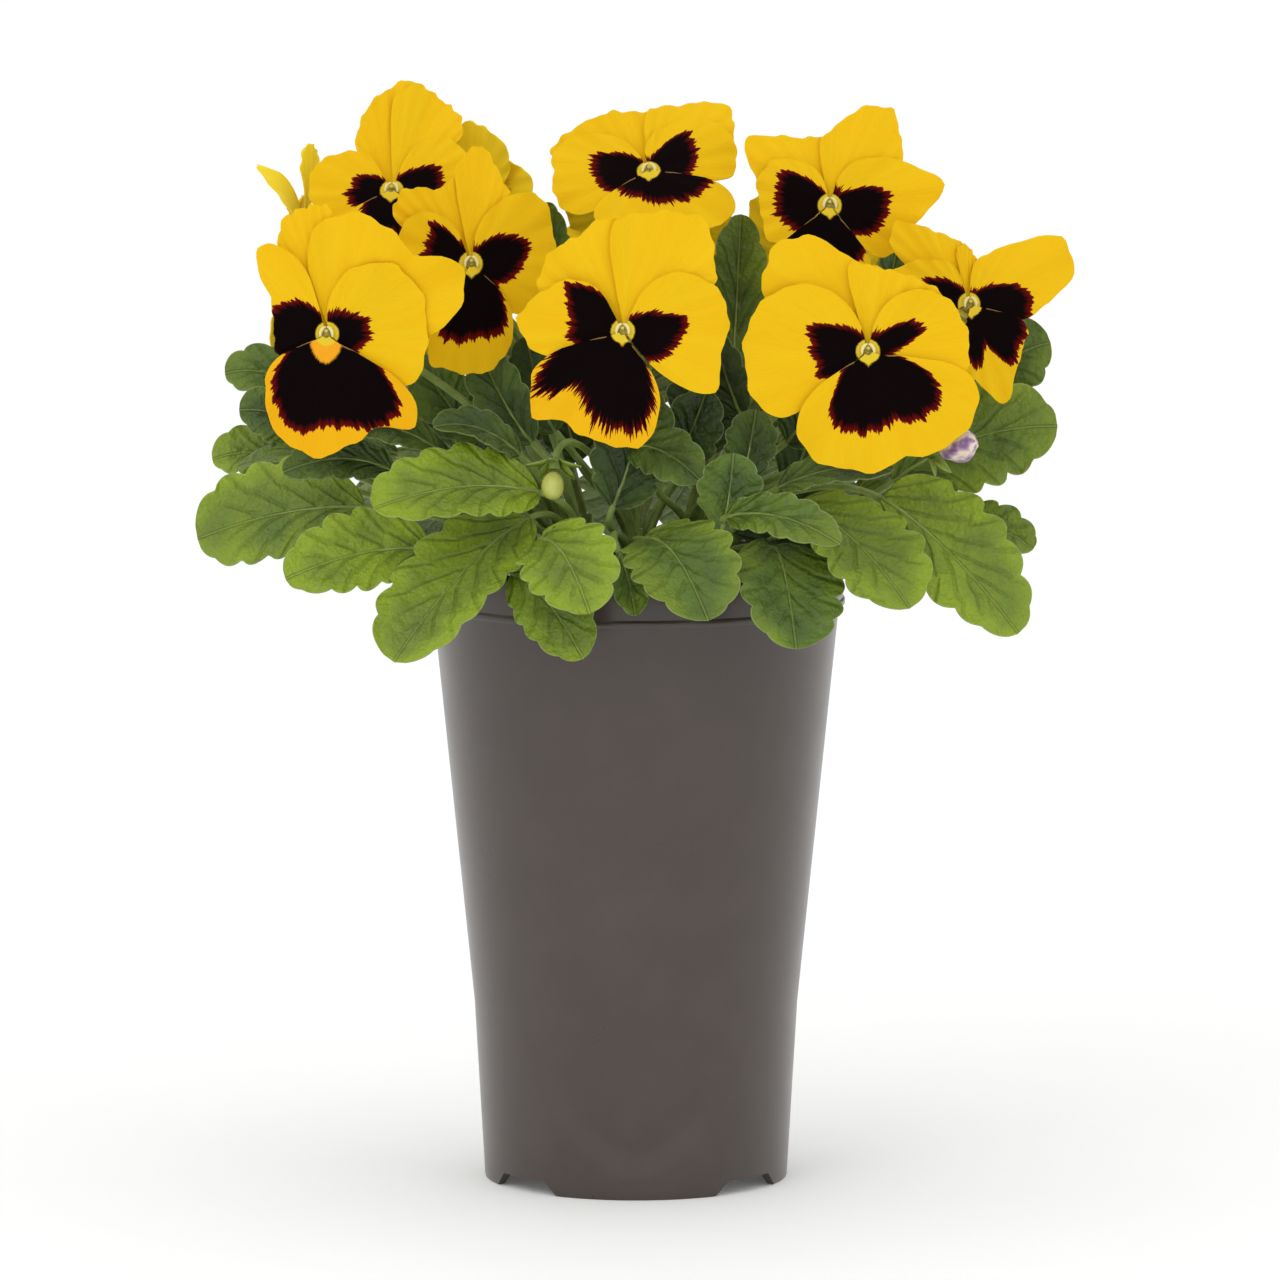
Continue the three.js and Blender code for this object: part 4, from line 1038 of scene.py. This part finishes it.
def run_through(lengths, share):
    """The mean of the straight and of the cubic run through evenly spaced lengths; the latter
    is b + (c - a) t/2 + (a - 5 b/2 + 2 c - d/2) t^2 + (3 b - a - 3 c + d) t^3/2."""
    lengths = np.asarray(lengths, float)
    place = np.clip(share, 0, 1) * (len(lengths) - 1)
    i = np.clip(np.floor(place).astype(int), 0, len(lengths) - 2)
    t = place - i
    padded = np.concatenate([lengths[:1], lengths, lengths[-1:]])
    a, b, c, d = (padded[i + k] for k in range(4))
    rounded = b + (c - a) * t / 2
    rounded = rounded + (a - 2.5 * b + 2 * c - d / 2) * t**2 + (3 * b - a - 3 * c + d) * t**3 / 2
    return 0.5 * rounded + 0.5 * (b + (c - b) * t)


def blotch_depth(fans, k, turn, out):
    """The blotch's reach in a direction less out, or well outside it on the upper petals."""
    if k < 2:
        return np.full_like(out, NO_BLOTCH)
    first, last, *reaches = fans[k + 3]
    return run_through(reaches, (turn - first) / (last - first)) - out


print("halfway from 10 to 20:", run_through((0, 10, 20, 20), 0.5))

# %% [markdown]
# A petal grows from the throat as a fan. The grid runs round the fan and outwards, and all five
# petals follow one gently waved and bent surface, each in a layer of its own, so that none cuts
# through the next. Small wavers and a frill at the rim come from sines, because a petal's edge
# grows longer than its middle and has to buckle.

# %% Petals
ACROSS, ALONG = 49, 26
PETAL_ROOT = 1.2
PETAL_THICKNESS = 0.4
RUFFLE = 1.6  # broad waves round the whole bloom
RIPPLE = 0.6  # closer ones towards the edge
FRILL = 0.35  # the finest, each petal's own
CREASE = 0.16  # the fan of creases from the throat
MEAN_LENGTH = 34


def petal_patch(face, k, bloom, seed):
    """A petal over its fan: out grows from the root to the edge, and the height over the face
    is out (1 - cos b)/b for the bend b, plus waves that grow with the square of the share."""
    first, last, *lengths = bloom["fans"][k]
    t = np.linspace(-1, 1, ACROSS)
    across = (0.6 * t + 0.4 * np.sin(t * np.pi / 2))[None]
    along = np.linspace(0, 1, ALONG)[:, None] ** 0.9
    own = draw(seed + k)
    rounded = 1 - 0.3 * np.abs(across) ** 16
    waver = 1 + 0.012 * np.sin(17 * across + 40 * own) + 0.007 * np.sin(33 * across + 70 * own)
    edge = run_through(lengths, (across + 1) / 2) * rounded * waver
    out = PETAL_ROOT + (edge - PETAL_ROOT) * along
    share = out / MEAN_LENGTH
    half = (last - first) / 2
    turn = (first + last) / 2 + half * across * (0.86 + 0.14 * smooth(along / 0.4))
    bend = bend_round(bloom["bends"], turn)
    bend = np.radians(np.where(np.abs(bend) < 1e-6, 0.5, bend)) * share
    level = out * np.sin(bend) / bend
    wide = np.radians(turn)
    wave = RUFFLE * share**2 * np.sin(5 * wide + 6 * draw(seed))
    wave = wave + RIPPLE * share**4 * np.sin(13 * wide + 9 * draw(seed + 7))
    wave = wave + FRILL * along**3 * np.sin(24 * across + 60 * own)
    folds = CREASE * smooth(share / 0.3) * np.sin(9 * wide + 8 * own) * np.cos(2.6 * share + own)
    height = out * (1 - np.cos(bend)) / bend + wave + folds + PETAL_LAYERS[k]
    seam = (1 - np.abs(across)) * math.radians(half) * out + smooth((out - 9) / 5)
    seam = seam + smooth((5.5 - out) / 1.5)
    return blade(
        in_face(face, level * np.cos(wide), level * np.sin(wide), height),
        face[3] * PETAL_THICKNESS / 2,
        blotch=blotch_depth(bloom["fans"], k, turn, out),
        direction=turn + 400.0 * k,
        out=out,
        seam=seam if k == LOWER else 9.0,
        lower=float(k == LOWER),
        deep=bloom.get("deep", 0.0),
        tongue=bloom.get("tongue", 4.4),
        ragged=bloom.get("ragged", 0.15) * (k == LOWER),
        seed=seed / 50,
    )


print("points of a petal:", 2 * ACROSS * ALONG)


# %% Throats
LIP_STEPS = 14
BALL_STEPS = 9
BALLS = [
    # right, up and in front of the face's middle, radius, part: the stigma, and a ball painted dark
    # as the shade of the well
    (0, 0.9, 1.3, 0.6, 2.0),
    (0, -0.4, -1.2, 2.2, 3.0),
]
SPUR_STEPS = 12
SPUR_RADII = [0, 0.3, 0.8, 0.95, 1], [3.2, 2.6, 1.8, 1.3, 0.5]  # at shares of its length


def throat_patches(face):
    """The throat's parts, as small tubes: two bearded lips in arcs over the opening, the round
    stigma between them, a ball behind them that is painted dark as the well's shade, and the
    blunt spur at the back."""
    _, right, up, facing = face
    made = []
    for first, last in ((96, 196), (84, -16)):
        turn = np.radians(np.linspace(first, last, LIP_STEPS))
        line = in_face(face, 1.9 * np.cos(turn), 2.4 * np.sin(turn) - 0.2, 1.3)
        run = unit(np.gradient(line, axis=0))
        side = unit(np.cross(run, facing))
        girth = 0.55 * np.sin(np.linspace(0.25, np.pi - 0.25, LIP_STEPS)) ** 0.6
        made.append(tube(line, side, np.cross(side, run), girth, 8, finish=1, part=1.0))
    down = np.linspace(0.1, np.pi - 0.1, BALL_STEPS)
    for x, y, z, size, part in BALLS:
        line = in_face(face, x, y, z - size * np.cos(down))
        made.append(tube(line, right, up, size * np.sin(down), 12, finish=1, part=part))
    shares = np.linspace(0, 1, SPUR_STEPS)
    line = in_face(face, 0, -1.4 - 2.2 * shares, BOSS_BACK + 3.4 - 6.4 * shares)
    run = unit(np.gradient(line, axis=0))
    girth = np.interp(shares, *SPUR_RADII)
    made.append(tube(line, right, np.cross(right, run), girth, 12, finish=1, part=4.0))
    return made


plain_face = face_of((0, 0, 0), 0, 0)
print("points of a throat:", sum(len(p["points"]) for p in throat_patches(plain_face)))

# %% [markdown]
# Behind each bloom sits a green star of five narrow sepals, whose ends reach back past the stalk
# in little flaps. The stalk is thin and squarish, stands up from its leafy stem and bends over
# like a walking stick just behind the flower. Sepals are small blades on short curves.

# %% Sepals
SEPAL_LENGTH = 9.5
SEPAL_HALF_WIDTH = 1.75
SEPAL_HALF_THICKNESS = 0.22
SEPAL_ROWS = 16
SEPAL_COLUMNS = 5


def sepal_patches(face, back, seed):
    """Five blades at 90 + 72 k degrees, on a curve from behind the star out to its points."""
    made = []
    for k in range(5):
        turn = math.radians(90 + 72 * k)
        ray = np.array([math.cos(turn), math.sin(turn)])
        places = [(1.7, back - 4.2), (2.6, back - 0.9), (SEPAL_LENGTH - 0.2, back - 0.6)]
        v = np.linspace(0, 1, SEPAL_ROWS)
        s = np.linspace(-1, 1, SEPAL_COLUMNS)[None]
        middle, along, _ = follow([in_face(face, *(ray * r), z) for r, z in places], v)
        side, normal = frame_along(along, face[3])
        half = np.sin(np.pi * np.clip(v, 0.02, 1) ** 0.8)[:, None] ** 0.75
        half = SEPAL_HALF_WIDTH * half + 0.12
        lift = -0.35 * s**2 * half
        made.append(
            blade(
                middle[:, None] + side[:, None] * (s * half)[..., None] + normal[:, None] * lift[..., None],
                normal[:, None] * SEPAL_HALF_THICKNESS,
                across=s * half,
                margin=(1 - np.abs(s)) * half,
                phase=0.5,
                spacing=40.0,
                fading=0.0,
                green=0.55 + 0.2 * draw(seed + k),
                seed=draw(seed + k),
            )
        )
    return made


print("points of a star:", sum(len(p["points"]) for p in sepal_patches(plain_face, BOSS_BACK, 0)))


# %% Flower stalks and stems
STEM_RADIUS = 2.2
STEM_TOP = 208
STEM_STEPS = 40
STALK_RADIUS = 1.2
STALK_STEPS = 30
STALK_SIDES = 12


def flower_stalk(stem, face, back):
    """A cubic from the leafy stem's top, up and over into the back of the bloom."""
    azimuth, distance = SHOOTS[stem]
    root = around(azimuth, distance, STEM_TOP - 3)
    end = in_face(face, 0, 0, back - 0.8)
    bend = in_face(face, 0, 4, back - 20)
    lower = root + 0.25 * (bend - root)
    lower[2] = root[2] + 0.55 * (bend[2] - root[2])
    shares = np.linspace(0, 1, STALK_STEPS)
    radius = STALK_RADIUS * (1.05 - 0.15 * shares + 0.45 * smooth((shares - 0.92) / 0.08))
    middle, along, _ = follow([root, lower, bend, end], shares)
    side, normal = frame_along(along, around(azimuth + 90, 1.0, 0.0))
    turn = np.arange(STALK_SIDES) / STALK_SIDES * 2 * np.pi
    ribs = radius[:, None] * (1 + 0.1 * np.cos(4 * turn))[None]
    return tube(middle, side, normal, ribs, STALK_SIDES, finish=1, green=0.75)


def main_stem(name):
    """The short leafy stem: a tube with a swollen joint at each leaf."""
    azimuth, distance = SHOOTS[name]
    height = np.linspace(SOIL_TOP - 13, STEM_TOP, STEM_STEPS)
    joint = 0.25 * np.abs(np.sin((height - SOIL_TOP - 3) / 2.6 * np.pi / 2)) ** 4
    side = around(azimuth, 1.0, 0.0)
    radius = STEM_RADIUS * (0.98 + 0.1 * joint)
    middle = around(azimuth, distance, height)
    return tube(middle, side, np.cross([0, 0, 1], side), radius, STALK_SIDES, finish=1, green=0.6)


print("points of a stem:", len(main_stem("front")["points"]))

# %% [markdown]
# A living leaf isn't one green. Its blade is painted darker over the sunken side veins, as the
# shade in their grooves, and it is lighter along the midrib; its toothed margin carries a thin
# pale line, and its underside is dull and greyish.
# The finish mixes all of these by the numbers that each blade carries, and a soft satin shine
# with small bumps between the veins comes from the waxy skin.

# %% Leaf greens
# painted shade: the dark end of these greens stands for the shade deep inside the clump, where the inner
# leaves take it
LEAF_GREENS_AND_SHADE = [(0.0, "#1E2E10"), (0.3, "#3A501B"), (0.55, "#587024"), (0.8, "#738822"), (1.0, "#889F20")]
leaf_finish, add, shader = new_finish("waxy_leaf_skin")
NUMBERS = "across margin phase spacing fading green under seed".split()
held = {name: add("Attribute " + name, out="Fac") for name in NUMBERS}
where = add("TexCoord", out="Object")
clouds = add("TexNoise", where, Scale=55.0, Detail=3.0)
drift = add("MapRange SMOOTHSTEP", clouds, 0.3, 0.7, -0.13, 0.13)
inwards = add("MapRange SMOOTHSTEP", held["margin"], 0.0, 11.0, 0.1, -0.12)
tone = add("Math ADD", held["green"], drift)
tone = add("Math ADD", tone, inwards)
tone = add("Math MULTIPLY_ADD", held["seed"], 0.1, tone)
green_colour = add("ValToRGB", tone, stops=LEAF_GREENS_AND_SHADE)
print("greens:", len(LEAF_GREENS_AND_SHADE))

# %% Leaf veins
off_vein = add("Math SUBTRACT", add("Math FRACT", held["phase"]), 0.5)
off_vein = add("Math MULTIPLY", add("Math ABSOLUTE", off_vein), held["spacing"])
waver = add("TexNoise", where, Scale=260.0, Detail=2.0)
waver = add("Math SUBTRACT", waver, 0.5)
off_vein = add("Math MULTIPLY_ADD", waver, 0.9, off_vein)
vein = add("MapRange SMOOTHSTEP", off_vein, 0.0, 1.3, 1.0, 0.0)
vein = add("Math MULTIPLY", vein, held["fading"])
off_midrib = add("Math ABSOLUTE", held["across"])
midrib_line = add("MapRange SMOOTHSTEP", off_midrib, 0.15, 0.7, 1.0, 0.0)
pale_midrib = add("Math MULTIPLY", midrib_line, 0.25)
pale_margin = add("MapRange SMOOTHSTEP", held["margin"], 0.05, 0.5, 0.35, 0.0)
net = add("TexVoronoi DISTANCE_TO_EDGE", where, Scale=520.0)
net_line = add("MapRange SMOOTHSTEP", net, 0.0, 0.14, 0.1, 0.0)
# painted shade: the veins and the fine net of veinlets are darkened towards #2A4210, for the shade in their
# sunken grooves
vein_and_net_shade = add("Math MULTIPLY_ADD", vein, 0.2, net_line)
upper_side = add("Mix RGBA", vein_and_net_shade, green_colour, "#2A4210")
upper_side = add("Mix RGBA", pale_midrib, upper_side, "#98A45C")
upper_side = add("Mix RGBA", pale_margin, upper_side, "#A9B878")
dull = add("Mix RGBA", 0.55, green_colour, "#74845C")
raised = add("Math MAXIMUM", vein, midrib_line)
raised = add("Math MULTIPLY", raised, 0.5)
under_side = add("Mix RGBA", raised, dull, "#94A277")
print("nodes of the leaf so far:", len(leaf_finish.node_tree.nodes))

# %% Leaf relief
valley = add("MapRange SMOOTHSTEP", off_vein, 0.0, 2.2, 1.0, 0.0)
valley = add("Math MULTIPLY", valley, held["fading"])
valley = add("Math MAXIMUM", valley, midrib_line)
relief = add("Math SUBTRACT", 1.0, valley)
relief = add("Math MULTIPLY_ADD", net, 0.5, relief)
wrinkles = add("TexNoise", where, Scale=190.0, Detail=3.0)
relief = add("Math MULTIPLY_ADD", wrinkles, 3.0, relief)
satin = add("MapRange SMOOTHSTEP", clouds, 0.3, 0.7, 0.36, 0.5)
add(
    shader,
    Base_Color=add("Mix RGBA", held["under"], upper_side, under_side),
    Roughness=add("Mix", held["under"], satin, 0.72),
    Normal=add("Bump", Height=relief, Strength=0.8, Distance=0.001),
    IOR=1.45,
    Specular_IOR_Level=0.4,
)
print("nodes of the leaf's finish:", len(leaf_finish.node_tree.nodes))

# %% [markdown]
# Stalks are juicy and paler than the leaves, with fine ridges along them. The ridges follow the
# angle round the tube, which each tube carries as a number, and the colour leans to yellow near
# the flower, where less light has greened it.

# %% Stalk finish
RIDGES = 6  # round a stalk
stalk_finish, add, shader = new_finish("juicy_green_stalk")
held = {name: add("Attribute " + name, out="Fac") for name in ("turn", "along", "green")}
blush = add("TexNoise", add("TexCoord", out="Object"), Scale=180.0, Detail=3.0)
blush = add("MapRange", blush, 0.35, 0.7, 0.0, 0.45)
body = add("Mix RGBA", held["green"], "#44591F", "#7C9040")
body = add("Mix RGBA", held["along"], body, "#71883A")
ridge = add("Math MULTIPLY", held["turn"], math.radians(RIDGES))
ridge = add("Math SINE", ridge)
add(
    shader,
    Base_Color=add("Mix RGBA", blush, body, "#A3B367"),
    Roughness=0.42,
    Normal=add("Bump", Height=ridge, Strength=0.25, Distance=0.0002),
    IOR=1.45,
)
print("ridges round a stalk:", RIDGES)

# %% [markdown]
# A petal is soft and velvety, made of tiny cells that scatter light, and so thin that some light
# passes through it. It is rough, with hardly any gloss. Its underside is coloured a brighter
# yellow as painted light on the petals' backs. Fine creases fan out from the throat, painted a
# darker orange as the shade in their folds. The blotch's edge is torn into short teeth along
# those creases, dark red first and then nearly black, and the lower petal carries a small orange
# tongue at the throat. The teeth come from a cell pattern over the angle round the bloom.

# %% Torn edge of the blotch
TEETH_DEGREES = 3.2  # a tooth's width round the bloom
LOWER_MIDDLE = 270 + 400 * LOWER  # the direction number down the lower petal's middle
petal_finish, add, shader = new_finish("velvet_petal")
NUMBERS = "blotch direction out seam lower under seed deep tongue ragged".split()
held = {name: add("Attribute " + name, out="Fac") for name in NUMBERS}
angle = add("Math MULTIPLY", held["seed"], 61.0)
angle = add("Math MULTIPLY_ADD", held["direction"], 1 / TEETH_DEGREES, angle)
fine_angle = add("Math MULTIPLY", angle, 3.0)
slow_out = add("Math MULTIPLY", held["out"], 0.05)
teeth_at = add("CombineXYZ", angle, slow_out, held["seed"])
fine_at = add("CombineXYZ", fine_angle, slow_out, held["seed"])
teeth = add("TexVoronoi", teeth_at, Scale=1.0)
streaks = add("TexNoise", fine_at, Scale=1.0, Detail=2.0)
cloud = add("TexNoise", teeth_at, Scale=0.3, Detail=2.0)
jag = add("MapRange", teeth, 0.0, 0.8, 1.2, -1.2)
jag = add("Math MULTIPLY_ADD", streaks, 2.2, jag)
jag = add("Math MULTIPLY_ADD", cloud, 2.6, jag)
splits = add("Math MULTIPLY", add("Math SUBTRACT", streaks, 0.5), held["ragged"])
jag = add("Math MULTIPLY_ADD", splits, 11.0, jag)
depth = add("Math ADD", held["blotch"], jag)
dark = add("MapRange SMOOTHSTEP", depth, 2.3, 2.6)
inner = add("MapRange SMOOTHSTEP", depth, 2.6, 5.6)
print("numbers that a petal carries:", len(NUMBERS))

# %% Petal colours
deepened = add("Math MULTIPLY", held["lower"], held["deep"])
# painted light: the undersides are coloured a brighter yellow, #FADB2E, for the light on the petals' backs
underside_painted_light = add("Math MULTIPLY", held["under"], 0.8)
# painted shade: the fine creases are coloured a darker orange, #C98A08, for the shade in their folds
crease_painted_shade = add("MapRange SMOOTHSTEP", streaks, 0.6, 0.8, 0.0, 0.1)
yellow = add("Mix RGBA", cloud, "#E2B20F", "#E9BF1B")
orange = add("Mix RGBA", cloud, "#E3A60F", "#EAB317")
yellow = add("Mix RGBA", deepened, yellow, orange)
yellow = add("Mix RGBA", underside_painted_light, yellow, "#FADB2E")
yellow = add("Mix RGBA", crease_painted_shade, yellow, "#C98A08")
maroon = add("Mix RGBA", inner, "#640808", "#090102")
front_dark = add("MapRange SMOOTHSTEP", held["under"], 0.0, 1.0, 1.0, 0.25)
dark = add("Math MULTIPLY", dark, front_dark)
petal_colour = add("Mix RGBA", dark, yellow, maroon)
print("nodes of the petal so far:", len(petal_finish.node_tree.nodes))

# %% Tongue, ring and seams
off_middle = add("Math SUBTRACT", held["direction"], LOWER_MIDDLE)
off_middle = add("Math ABSOLUTE", off_middle)
tip = add("Math MULTIPLY_ADD", streaks, 2.0, held["out"])
tip = add("Math MULTIPLY_ADD", off_middle, 0.06, tip)
past = add("Math SUBTRACT", tip, held["tongue"])
tongue = add("MapRange SMOOTHSTEP", past, 0.6, 1.6, 1.0, 0.0)
tongue = add("Math MULTIPLY", tongue, held["lower"])
tongue_colour = add("Mix RGBA", held["deep"], "#E9C133", "#EDA322")
petal_colour = add("Mix RGBA", tongue, petal_colour, tongue_colour)
frayed = add("Math MULTIPLY_ADD", streaks, 1.2, held["out"])
ring = add("MapRange SMOOTHSTEP", frayed, 4.0, 4.5, 1.0, 0.0)
petal_colour = add("Mix RGBA", ring, petal_colour, "#E0C232")
seam_line = add("MapRange SMOOTHSTEP", held["seam"], 0.12, 0.3, 0.55, 0.0)
ribs = add("Math MULTIPLY_ADD", streaks, 0.6, cloud)
add(
    shader,
    Base_Color=add("Mix RGBA", seam_line, petal_colour, "#B08A4E"),
    Normal=add("Bump", Height=ribs, Strength=0.3, Distance=0.0007),
    Roughness=0.7,
    Specular_IOR_Level=0.04,
    Subsurface_Weight=0.25,
    Subsurface_Scale=0.001,
    Subsurface_Radius=(1.0, 0.75, 0.12),
)
print("nodes of the petal's finish:", len(petal_finish.node_tree.nodes))

# %% [markdown]
# The throat holds a pansy's smallest parts: cream lips with a short beard, a green stigma like a
# pinhead, a ball painted dark olive as the shade of the well, and behind the flower the blunt
# spur that holds the nectar. They are a few millimetres across, so colour tells them apart, by
# the number that each one carries.

# %% Throat finish
# the third colour is painted shade: the dark olive ball behind the stigma stands for the well
PARTS = [(0.2, "#E8DC9A"), (0.4, "#B9B765"), (0.6, "#7A6A22"), (0.8, "#BDB448")]
throat_finish, add, shader = new_finish("bearded_throat")
part = add("Attribute part", out="Fac")
part = add("Math MULTIPLY", part, PARTS[0][0])
fuzz = add("TexNoise", add("TexCoord", out="Object"), Scale=1800.0, Detail=3.0)
tint = add("MapRange", fuzz, 0.35, 0.7, 0.0, 0.5)
add(
    shader,
    Base_Color=add("Mix RGBA", tint, add("ValToRGB", part, stops=PARTS), "#DCC65A"),
    Roughness=0.6,
    Normal=add("Bump", Height=fuzz, Strength=0.8, Distance=0.0003),
)
print("parts of a throat:", len(PARTS))

# %% [markdown]
# Now the pieces are grown. Each bloom is one piece, its five petals and its throat. The petals'
# order in the list gives each bloom its own draws.

# %% Grow the blooms
for place, (letter, bloom) in enumerate(BLOOMS.items()):
    face = face_of(bloom["at"], *bloom["turned"])
    patches = [petal_patch(face, k, bloom, 50 * place) for k in range(5)]
    patches += throat_patches(face)
    make_piece(f"petals_{letter}", patches, [petal_finish, throat_finish], [f"bloom_{letter}"])
print("blooms grown:", len(BLOOMS))

# %% [markdown]
# One flower is over: its petals have rolled into a limp, twisted bundle, purple at the edges
# with yellow and white showing in the folds. Another has set seed: a smooth, pointed, yellow-green
# pod that nods on its star of sepals. Both are tubes whose radius changes round and along.

# %% Spent bloom and seed pod
SPENT_BLOOM = {"stem": "front_right", "at": (99, -62, 238), "turned": (62, 14), "length": 13, "radius": 5.6}
SEED_POD = {"stem": "front", "at": (-25.5, -64, 226), "turned": (-8, -62), "length": 9, "radius": 3.6}
BUD_STEPS = 40
BUD_SIDES = 48


def bud_patch(bud, folds, twist, depth, seed):
    """A body of revolution, radius sqrt(1 - (2 v - 1)^2), with folds that twist as they go."""
    face = face_of(bud["at"], *bud["turned"])
    v = np.linspace(0.01, 0.99, BUD_STEPS)[:, None]
    turn = (np.arange(BUD_SIDES) / BUD_SIDES * 2 * np.pi)[None]
    girth = bud["radius"] * np.sqrt(1 - (2 * v - 1) ** 2)
    wave = np.sin(folds * (turn + twist * v) + 1.3 * np.sin(3 * v + seed))
    fine = np.sin(3.1 * folds * turn - 2 * twist * v + seed)
    radius = girth * (1 - depth * (0.5 + 0.5 * wave) - 0.35 * depth * (0.5 + 0.5 * fine))
    line = in_face(face, 0, 0, bud["length"] * (v[:, 0] - 0.5))
    crest = np.concatenate([wave[:1], wave, wave[:1]])
    return tube(line, *face[1:3], radius, BUD_SIDES, crest=crest)


spent = bud_patch(SPENT_BLOOM, 4, 2.0, 0.24, 2.0)
pod = bud_patch(SEED_POD, 3, 0.0, 0.08, 0.5)
print("points of the rolled bloom and the pod:", len(spent["points"]), len(pod["points"]))

# %% Their finishes
FADED = [(0.28, "#7C5A84"), (0.46, "#B294B0"), (0.58, "#E2D6C2"), (0.74, "#E0C95E")]
spent_finish, add, shader = new_finish("faded_rolled_petals")
crest = add("Attribute crest", out="Fac")
wisps = add("TexNoise", add("TexCoord", out="Object"), Scale=320.0, Detail=4.0)
mixed = add("Math MULTIPLY_ADD", crest, 0.14, wisps)
add(
    shader,
    Base_Color=add("ValToRGB", mixed, stops=FADED),
    Roughness=0.7,
    Sheen_Weight=0.1,
    Normal=add("Bump", Height=wisps, Strength=0.6, Distance=0.0005),
)
make_piece("rolled_bloom", [spent], [spent_finish], ["spent_bloom"])

pod_finish, add, shader = new_finish("seed_pod_skin")
flush = add("TexNoise", add("TexCoord", out="Object"), Scale=260.0, Detail=3.0)
add(
    shader,
    Base_Color=add("Mix RGBA", flush, "#9CA83C", "#CFCB72"),
    Roughness=0.4,
    Normal=add("Bump", Height=flush, Strength=0.2, Distance=0.0003),
)
make_piece("pod", [pod], [pod_finish], ["seed_pod"])
print("faded colours:", len(FADED))

# %% [markdown]
# Each leafy stem is one piece: the stem itself, its leaves with their stalks, and a star of
# sepals and a stalk for each flower that it carries. It comes last, because a stalk has to know
# where its flower is.

# %% Grow the leafy stems
for name in SHOOTS:
    patches = [main_stem(name)]
    for order, leaf in enumerate(LEAVES[name]):
        patches += leaf_patches(name, order, *leaf)
    flowers = [(bloom, BOSS_BACK - 0.3) for bloom in BLOOMS.values()]
    flowers += [(bud, -0.48 * bud["length"] - 0.3) for bud in (SPENT_BLOOM, SEED_POD)]
    flowers = [(flower, back) for flower, back in flowers if flower["stem"] == name]
    for seed, (flower, back) in enumerate(flowers):
        face = face_of(flower["at"], *flower["turned"])
        patches += sepal_patches(face, back, seed)
        patches.append(flower_stalk(name, face, back))
    piece = make_piece(f"greens_{name}", patches, [leaf_finish, stalk_finish], [f"stem_{name}"])
    print(name, "leaves:", len(LEAVES[name]), "faces:", len(piece.data.polygons))
